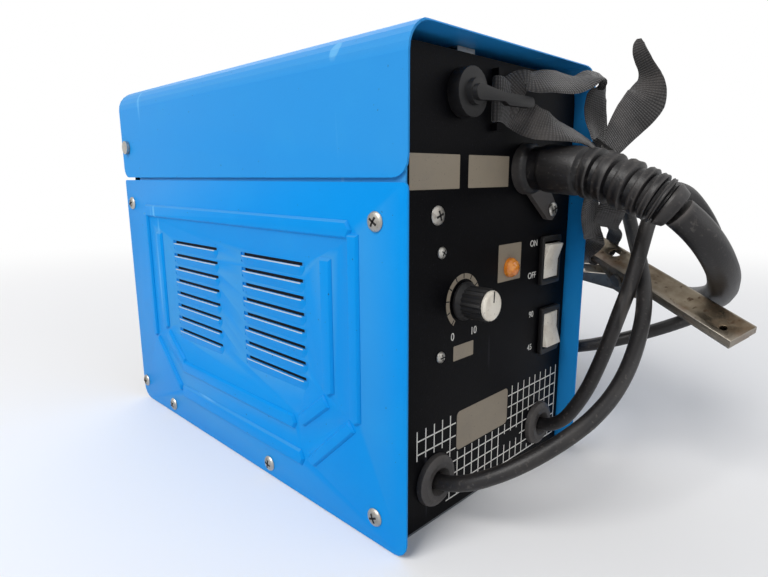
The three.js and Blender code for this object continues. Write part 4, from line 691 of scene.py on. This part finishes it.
def boot():
    """Ribbed rubber boot round the torch lead: flange, collar, bellows rings and end collar."""
    route = smooth_route(BOOT_ROUTE, 40)
    ear_thickness, ear_gap = 0.0034, 0.0006
    # Each pair is a share of the route and the radius there, in millimetres.
    profile = [(0, 15.9), (0.035, 15.9), (0.05, 15.1), (0.06, 13.3), (0.1, 13.2), (0.11, 14.2)]
    profile += [(0.125, 14.5), (0.265, 14.5), (0.28, 14.1), (0.29, 12.5)]
    rings, first, last = 6, 0.305, 0.8
    pitch = (last - first) / rings
    for ring in range(rings):
        start, top = first + ring * pitch, 14.9 - ring * 0.33
        low = top - 2.9
        profile += [(start, low), (start + 0.06 * pitch, top - 0.4), (start + 0.14 * pitch, top)]
        profile += [(start + 0.36 * pitch, top - 0.35), (start + 0.56 * pitch, top)]
        profile += [(start + 0.64 * pitch, top - 0.4), (start + 0.72 * pitch, low)]
    profile += [(0.805, 10.6), (0.82, 12.2), (0.835, 12.7), (0.95, 11.3), (0.985, 10.9), (1, 10.2)]
    line, radii = [], []
    for share, radius in profile:
        line.append(route[round(share * (len(route) - 1))])
        radii.append(radius * MM)
    work = bmesh.new()
    swept(work, line, radii)
    ear = [(30, 193), (55, 174.6), (61, 173.6), (66, 177), (66.6, 182), (63, 187), (46, 205)]
    slab(work, [(x * MM, z * MM) for x, z in ear], ear_thickness, FRONT - ear_gap)
    mesh = mesh_of("torch_boot_rubber", work)
    piece = put("torch_boot_rubber", mesh, PAINTS["black_rubber"])
    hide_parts("torch_boot")


def web(work, stations, closed, steps):
    """A woven band through its stations, with rounded selvedges and a layout of its weave."""
    places = [mm(*station[:3]) for station in stations]
    count = len(stations)
    if closed:
        line = smooth_route([places[-1], *places, places[0], places[1]], steps)
        line = line[steps : steps * (count + 1)]
    else:
        line = smooth_route(places, steps)
    section = [(-1, 0), (-0.93, -0.85), (-0.5, -1), (0, -1), (0.5, -1), (0.93, -0.85)]
    section += [(1, 0), (0.93, 0.85), (0.5, 1), (0, 1), (-0.5, 1), (-0.93, 0.85)]
    layout = work.loops.layers.uv["weave"]
    rings, marks, run = [], [], 0.0
    for i, place in enumerate(line):
        here, share = divmod(i / steps, 1)
        one = stations[int(here) % count]
        two = stations[(int(here) + 1) % count] if closed or here + 1 < count else one
        before = line[i - 1] if closed or i else line[0]
        after = line[(i + 1) % len(line)] if closed or i + 1 < len(line) else line[-1]
        ahead = (after - before).normalized()
        width = Vector(one[3:6]).normalized().lerp(Vector(two[3:6]).normalized(), share)
        width = (width - ahead * width.dot(ahead)).normalized()
        up = ahead.cross(width)
        half = HALF_WEB * (one[6] + (two[6] - one[6]) * share)
        spots = [place + width * (half * a) + up * (WEB_LIFT * b) for a, b in section]
        rings.append([work.verts.new(spot) for spot in spots])
        marks.append((run, half))
        run += (after - place).length
    for i in range(len(rings) if closed else len(rings) - 1):
        j = (i + 1) % len(rings)
        ends = (marks[i], marks[j] if j > i else (run, marks[j][1]))
        for k in range(len(section)):
            m = (k + 1) % len(section)
            face = work.faces.new((rings[i][k], rings[i][m], rings[j][m], rings[j][k]))
            corners = ((ends[0], k), (ends[0], m), (ends[1], m), (ends[1], k))
            for loop, ((along, half), corner) in zip(face.loops, corners):
                loop[layout].uv = (along, half * section[corner][0])
    if not closed:
        work.faces.new(rings[0][::-1])
        work.faces.new(rings[-1])


def straps():
    """The sling under the clamp, and the loop through its bracket with its free tail."""
    for name, node, bands in (
        ("strap_sling_webbing", "strap_sling", [(STRAP_SLING, True)]),
        ("strap_loop_webbing", "strap_loop", [(STRAP_LOOP, True), (STRAP_TAIL, False)]),
    ):
        work = bmesh.new()
        work.loops.layers.uv.new("weave")
        for stations, closed in bands:
            web(work, stations, closed, 5)
        piece = put(name, mesh_of(name, work), PAINTS["webbing"], smooth=50)
        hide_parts(node)


# ---------------------------------------------------------------- case details
def refinements():
    """Sheet folds and mouldings with their edges rounded."""
    slots = {entry["node"]: entry["material_slot"] for entry in frame["record"]["subparts"]}
    for node, width in (
        ("left_side_panel", 0.0005),
        ("latch_handle", 0.0006),
        ("dial_knob", 0.0003),
        ("dial_cap", 0.0005),
        ("mains_switch_rocker", 0.0005),
        ("range_switch_rocker", 0.0005),
        ("mains_switch_bezel", 0.0004),
        ("range_switch_bezel", 0.0004),
        ("clamp_upper_arm", 0.0003),
        ("torch_handle", 0.0008),
        ("torch_trigger", 0.0008),
    ):
        slot = slots[node]
        paint = RUSTY if node.startswith("clamp") else PAINTS[slot]
        refined(node, width, paint)
    frame["nodes"]["clamp_lower_arm"].data.materials[0] = RUSTY


def screw(heads, crosses, centre, axis, radius, turn):
    """A domed head with a cross recess, drawn as dark bars of painted shade, standing on a face."""
    dome = [(radius * 0.96, 0), (radius, 0.0004), (radius * 0.93, 0.0011), (radius * 0.72, 0.0017)]
    lathe(heads, centre, axis, [*dome, (radius * 0.4, 0.0021), (radius * 0.1, 0.0022)], 24)
    arm_reach, arm_half = radius * 0.52, radius * 0.11
    arm_low, arm_high = 0.0012, 0.00225
    stand = Vector(axis).to_track_quat("Z", "Y").to_matrix()
    for extra in (0, 90):
        angle = math.radians(turn + extra)
        u = Vector((math.cos(angle), math.sin(angle), 0))
        v = Vector((-u.y, u.x, 0))
        flats = [u * (a * arm_reach) + v * (b * arm_half) for a, b in ((-1, -1), (1, -1), (1, 1), (-1, 1))]
        rings = []
        for level in (arm_low, arm_high):
            lifted = [flat + Vector((0, 0, level)) for flat in flats]
            rings.append([crosses.verts.new(Vector(centre) + stand @ place) for place in lifted])
        bridge(crosses, rings)


def screws():
    """Heads of the screws in the two sides, the front panel and the boot's ear."""
    sides = [(156.4, 181), (-146.3, 181.4), (161, 16.5), (106.4, 9), (-40.2, 9), (-144.3, 16.2)]
    front = [(-56.9, 182.8, 5.4), (-53.1, 162.3, 3.4), (-52.7, 102.3, 3.4)]
    case_radius, boot_radius = 0.0053, 0.0048
    groups = [
        ("case", [(mm(-SIDE_MM, y, z), (-1, 0, 0), case_radius) for y, z in sides]),
        ("right", [(mm(SIDE_MM, y, z), (1, 0, 0), case_radius) for y, z in sides if y > -100]),
        ("panel", [(mm(x, FRONT_MM, z), (0, -1, 0), radius * MM) for x, z, radius in front]),
        ("boot", [(mm(60.8, -159, 181), (0, -1, 0), boot_radius)]),
    ]
    for label, items in groups:
        heads, crosses = bmesh.new(), bmesh.new()
        for i, (centre, axis, radius) in enumerate(items):
            screw(heads, crosses, centre, axis, radius, 20 + 37 * i)
        put(f"{label}_screw_heads", mesh_of("heads", heads), PAINTS["zinc_steel"])
        # The cross recesses are dark bars of painted shade on the zinc heads.
        put(f"{label}_screw_recess_painted_shade", mesh_of("recesses", crosses), DARK_PRINT_AND_SHADE)


def plate(name, outline):
    """A bare label on the front panel."""
    work = bmesh.new()
    slab(work, outline, PRINT, FRONT)
    put(name, mesh_of(name, work), LABEL, smooth=0)


def words(name, text, x, z, height):
    """Plain lettering centred on a point of the front panel."""
    capital_share = 0.7  # height of a capital in a font of size 1
    data = bpy.data.curves.new(name, "FONT")
    data.body = text
    data.size = height * MM / capital_share
    data.extrude = PRINT
    data.align_x = "CENTER"
    data.align_y = "CENTER"
    shaper = add(name, data)
    mesh = bpy.data.meshes.new_from_object(shaper)
    bpy.data.objects.remove(shaper)
    upright = Matrix.Rotation(math.radians(90), 4, "X")
    mesh.transform(Matrix.Translation(mm(x, FRONT_MM, z)) @ upright)
    put(name, mesh, WHITE, smooth=0)


def labels():
    """Bare label plates, and the plain words and numbers by the switches and the dial."""
    for name, x0, x1, z0, z1, radius in (
        ("label_upper_left", -79.6, -38.2, 196.6, 215, 0.6),
        ("label_upper_right", -30.2, 10.9, 196.8, 215, 0.6),
        ("label_dial", -40.4, -20.9, 96.6, 105.7, 0.6),
        ("label_lower", -35.5, 20.5, 38, 63.2, 3),
        ("label_lamp", 3.3, 29.5, 137.4, 161.2, 0.8),
    ):
        plate(name, rounded_box(x0, x1, z0, z1, radius))
    for name, text, x, z, height in (
        ("mark_on", "ON", 45.5, 158.6, 4.2),
        ("mark_off", "OFF", 44.9, 136.8, 4.2),
        ("mark_high", "90", 46.4, 109.2, 4.2),
        ("mark_low", "45", 46.4, 85.5, 4.2),
        ("mark_dial_low", "0", -41.5, 111.7, 4.6),
        ("mark_dial_high", "10", -21, 111.7, 4.6),
    ):
        words(name, text, x, z, height)


def strip(work, x0, z0, x1, z1):
    """A printed line on the front panel, as a rectangle in millimetres."""
    corners = [(x0, z0), (x1, z0), (x1, z1), (x0, z1)]
    slab(work, [(x * MM, z * MM) for x, z in corners], PRINT, FRONT)


def printed_grid():
    """White lattice low on the panel, left out round the earth lead and under the bare plates."""
    work = bmesh.new()
    half_line = 0.75 / 2
    left, right, bottom, top = -72, 86.6, 8.3, 63
    columns, column_pitch = 22, 7.55
    rows = (56.8, 48.6, 40.3, 32, 23.9, 16, bottom)
    blanks = [(-76, -45, 8, 45), (12, 38, 22, 30), (-36.4, 21.4, 37.2, 64), (48, 74, 12, 38)]

    def pieces(low, high, walls):
        """The stretches of a line that no blank covers."""
        at = low
        for near, far in sorted(walls):
            if near > at:
                yield at, near
            at = max(at, far)
        if at < high:
            yield at, high

    for i in range(columns):
        x = left + column_pitch * i
        walls = [(z0, z1) for x0, x1, z0, z1 in blanks if x0 < x < x1]
        for low, high in pieces(bottom, top, walls):
            strip(work, x - half_line, low, x + half_line, high)
    for z in rows:
        walls = [(x0, x1) for x0, x1, z0, z1 in blanks if z0 < z < z1]
        for low, high in pieces(left, right, walls):
            strip(work, low, z - half_line, high, z + half_line)
    put("panel_grid", mesh_of("panel_grid", work), WHITE, smooth=0)


def spoke(work, centre, angle, near, far, half, level, thickness):
    """A flat bar of a given half width, pointing out from a centre, in millimetres."""
    u, v = math.cos(math.radians(angle)), math.sin(math.radians(angle))
    outline = []
    for reach, across in ((near, -half), (far, -half), (far, half), (near, half)):
        x, z = centre[0] + u * reach - v * across, centre[1] + v * reach + u * across
        outline.append((x * MM, z * MM))
    slab(work, outline, thickness, level)


def dial_markings():
    """Scale ring round the dial, eleven ticks, and the pointer on the knob."""
    centre = (-32, 132)
    band_from, band_to, steps = 236, -56, 72
    first_tick, tick_step, ticks = 230, 28, 11
    pointer_level = FRONT - 0.021

    work = bmesh.new()
    rim = []
    for step in range(steps + 1):
        angle = math.radians(band_from + (band_to - band_from) * step / steps)
        u, v = math.cos(angle), math.sin(angle)
        pair = [mm(centre[0] + u * r, FRONT_MM - 0.12, centre[1] + v * r) for r in (13, 16.2)]
        rim.append([work.verts.new(place) for place in pair])
    for near, far in zip(rim, rim[1:]):
        work.faces.new((near[0], near[1], far[1], far[0]))
    put("dial_scale", mesh_of("dial_scale", work), LABEL, smooth=0)

    work = bmesh.new()
    for tick in range(ticks):
        angle = first_tick - tick_step * tick
        spoke(work, centre, angle, 13.4, 16.4, 0.35, FRONT - PRINT, 0.0001)
    put("dial_ticks", mesh_of("dial_ticks", work), DARK_PRINT_AND_SHADE, smooth=0)

    work = bmesh.new()
    spoke(work, centre, 87, 2, 8.6, 0.5, pointer_level, PRINT)
    put("dial_pointer", mesh_of("dial_pointer", work), DARK_PRINT_AND_SHADE, "dial", smooth=0)


def hood(work, highlight_strips, start, z):
    """One hood from its slit down to the panel, with a pale strip of painted highlight along its upper face,
    under the slit.
    """
    length, drop, least_drop, proudest = 69.5, 6.4, 0.6, 1.35
    columns, levels, end_shares = 24, 6, 12
    skin, inside = -SIDE_MM - 0.05, -SIDE_MM + 0.8
    grid = []
    for i in range(columns + 1):
        share = i / columns
        y = start + length * share
        ends = min(1, min(share, 1 - share) * end_shares)
        round_end = math.sqrt(max(0.0, 1 - (1 - ends) ** 2))
        fall = least_drop + (drop - least_drop) * (0.35 + 0.65 * round_end)
        line = []
        for k in range(levels + 1):
            down = k / levels
            proud = proudest * round_end * math.cos(down * math.pi / 2) ** 1.4
            line.append(work.verts.new(mm(skin - proud, y, z - fall * down)))
        grid.append([work.verts.new(mm(inside, y, z - 0.25)), *line])
    for near, far in zip(grid, grid[1:]):
        for k in range(levels + 1):
            work.faces.new((near[k], near[k + 1], far[k + 1], far[k]))
    # A pale strip of painted highlight over the upper part of the hood, just under its slit.
    for near, far in zip(grid[1:], grid[2:-1]):
        corners = [near[1].co, far[1].co, far[2].co, near[2].co]
        corners[2:] = [corners[1].lerp(corners[2], 0.75), corners[0].lerp(corners[3], 0.75)]
        highlight_strips.faces.new([highlight_strips.verts.new(corner + mm(-0.06, 0, 0.05)) for corner in corners])


def louvres():
    """Pressed hoods under the slits of the left panel, with pale strips of painted highlight along their
    upper faces and a dark sheet of painted shade behind them.
    """
    rows, pitch, top = 8, 10.2, 154.3
    slit_half = 1.9
    work, highlight_strips = bmesh.new(), bmesh.new()
    for row in range(rows):
        for start in (-87, 13):
            hood(work, highlight_strips, start, top - row * pitch - slit_half)
    put("louvre_highlight_strips", mesh_of("louvre_highlight_strips", highlight_strips), LOUVRE_HIGHLIGHT, smooth=0)
    hoods = mesh_of("louvre_hoods", work)
    put("louvre_hoods", hoods, PAINTS["blue_paint"], smooth=60)
    # A dark sheet of painted shade just inside the panel, behind each column of slits.
    work = bmesh.new()
    low, high = 74, 157
    for y0, y1 in ((-89, -15), (11, 85)):
        corners = [mm(-SIDE_MM + 1.6, y, z) for y, z in ((y0, low), (y1, low), (y1, high), (y0, high))]
        work.faces.new([work.verts.new(corner) for corner in corners])
    put("louvre_painted_shade", mesh_of("louvre_painted_shade", work), DARK_PRINT_AND_SHADE, smooth=0)


def coil_ties():
    """Narrow ties that hold each coil's turns together."""
    clearance, bend, lowest, width_share = 0.001, 0.006, 0.0026, 0.4
    half_angle = 0.14  # of the wedge of a coil that a tie goes round, in radians
    work = bmesh.new()
    work.loops.layers.uv.new("weave")
    for coil, centre, diameter, angles in (
        (HOSE_COIL, HOSE_CENTRE, HOSE_DIAMETER, (40, 160, 280)),
        (MAINS_COIL, MAINS_CENTRE, LEAD_DIAMETER, (60, 240)),
    ):
        middle = mm(*centre, 0)
        edge = diameter / 2 + clearance
        for degrees in angles:
            angle = math.radians(degrees)
            out = Vector((math.cos(angle), math.sin(angle), 0))
            along = Vector((-out.y, out.x, 0))
            near = [p for p in coil if (p - middle).to_2d().angle(out.to_2d()) < half_angle]
            reach = [(p - middle).dot(out) for p in near]
            inner, outer = min(reach) - edge, max(reach) + edge
            low = max(lowest, min(p.z for p in near) - edge)
            high = max(p.z for p in near) + edge
            stations = []
            for r, z in (
                (inner + bend, low),
                (outer - bend, low),
                (outer, low + bend),
                (outer, high - bend),
                (outer - bend, high),
                (inner + bend, high),
                (inner, high - bend),
                (inner, low + bend),
            ):
                place = (middle + out * r + Vector((0, 0, z))) / MM
                stations.append((*place, *along, width_share))
            web(work, stations, True, 4)
    put("coil_ties", mesh_of("coil_ties", work), PAINTS["webbing"], smooth=50)


# ---------------------------------------------------------------- stage
def studio_world():
    """Soft light from all round, under a background that shows white."""
    world = bpy.data.worlds.new("studio")
    bpy.context.scene.world = world
    world.use_nodes = True
    tree = world.node_tree
    link = tree.links.new
    path = tree.nodes.new("ShaderNodeLightPath")
    seen = tree.nodes.new("ShaderNodeMath")
    seen.operation = "MAXIMUM"
    link(path.outputs["Is Camera Ray"], seen.inputs[0])
    also = tree.nodes.new("ShaderNodeMath")
    also.operation = "MAXIMUM"
    link(path.outputs["Is Glossy Ray"], also.inputs[0])
    link(path.outputs["Is Transmission Ray"], also.inputs[1])
    link(also.outputs[0], seen.inputs[1])
    white = tree.nodes.new("ShaderNodeBackground")
    soft = tree.nodes.new("ShaderNodeBackground")
    soft.inputs["Strength"].default_value = 0.42
    soft.inputs["Color"].default_value = (0.92, 0.95, 1.0, 1)
    mix = tree.nodes.new("ShaderNodeMixShader")
    white.inputs["Color"].default_value = (1, 1, 1, 1)
    link(seen.outputs[0], mix.inputs[0])
    link(soft.outputs[0], mix.inputs[1])
    link(white.outputs[0], mix.inputs[2])
    link(mix.outputs[0], tree.nodes["World Output"].inputs[0])


def pale_floor():
    """A matt floor that fades to white away from the object."""
    half_size, sink = 6, 0.0004
    fade_from, fade_to = 0.35, 1.5
    work = bmesh.new()
    bmesh.ops.create_grid(work, x_segments=1, y_segments=1, size=half_size)
    mesh = bpy.data.meshes.new("floor")
    work.to_mesh(mesh)
    work.free()
    floor = add("floor", mesh)
    floor.location.z = -sink
    pale = bpy.data.materials.new("pale_floor")
    pale.use_nodes = True
    nodes, link = pale.node_tree.nodes, pale.node_tree.links.new
    matt = nodes["Principled BSDF"]
    matt.inputs["Base Color"].default_value = (0.86, 0.86, 0.87, 1)
    matt.inputs["Roughness"].default_value = 0.9
    glow = nodes.new("ShaderNodeEmission")
    place = nodes.new("ShaderNodeTexCoord")
    reach = nodes.new("ShaderNodeVectorMath")
    reach.operation = "LENGTH"
    link(place.outputs["Object"], reach.inputs[0])
    fade = nodes.new("ShaderNodeMapRange")
    fade.interpolation_type = "SMOOTHSTEP"
    fade.inputs["From Min"].default_value = fade_from
    fade.inputs["From Max"].default_value = fade_to
    link(reach.outputs["Value"], fade.inputs["Value"])
    path = nodes.new("ShaderNodeLightPath")
    seen = nodes.new("ShaderNodeMath")
    seen.operation = "MULTIPLY"
    link(path.outputs["Is Camera Ray"], seen.inputs[0])
    link(fade.outputs[0], seen.inputs[1])
    mix = nodes.new("ShaderNodeMixShader")
    link(seen.outputs[0], mix.inputs[0])
    link(matt.outputs[0], mix.inputs[1])
    link(glow.outputs[0], mix.inputs[2])
    link(mix.outputs[0], nodes["Material Output"].inputs["Surface"])
    mesh.materials.append(pale)


def studio_lamps():
    """One soft key lamp and two fills, aimed at the middle of the machine."""
    target = Vector((0, 0, 0.12))
    lamps = [
        ("key", (-1.7, -0.2, 1.8), 1.3, 46, (1, 0.985, 0.96)),
        ("fill", (0.4, -2.0, 0.9), 1.6, 7, (0.95, 0.97, 1)),
        ("rim", (0.9, 1.5, 1.6), 1.6, 9, (1, 1, 1)),
    ]
    for name, place, size, power, colour in lamps:
        data = bpy.data.lights.new(name, "AREA")
        data.energy = power
        data.size = size
        data.color = colour
        lamp = add(name, data)
        lamp.location = place
        lamp.rotation_euler = (target - Vector(place)).to_track_quat("-Z", "Y").to_euler()


# ---------------------------------------------------------------- CAD finishes
def finish_nodes():
    """Every CAD node gets the paint of its slot and smooth shading where it is round."""
    for entry in frame["record"]["subparts"]:
        mesh = frame["nodes"][entry["node"]].data
        mesh.materials.clear()
        mesh.materials.append(PAINTS[entry["material_slot"]])
        shade_smooth(mesh, 30)


camera()
cords()
finish_nodes()
boot()
straps()
refinements()
screws()
labels()
printed_grid()
dial_markings()
louvres()
coil_ties()
studio_world()
pale_floor()
studio_lamps()
bpy.context.scene.view_settings.view_transform = "Standard"
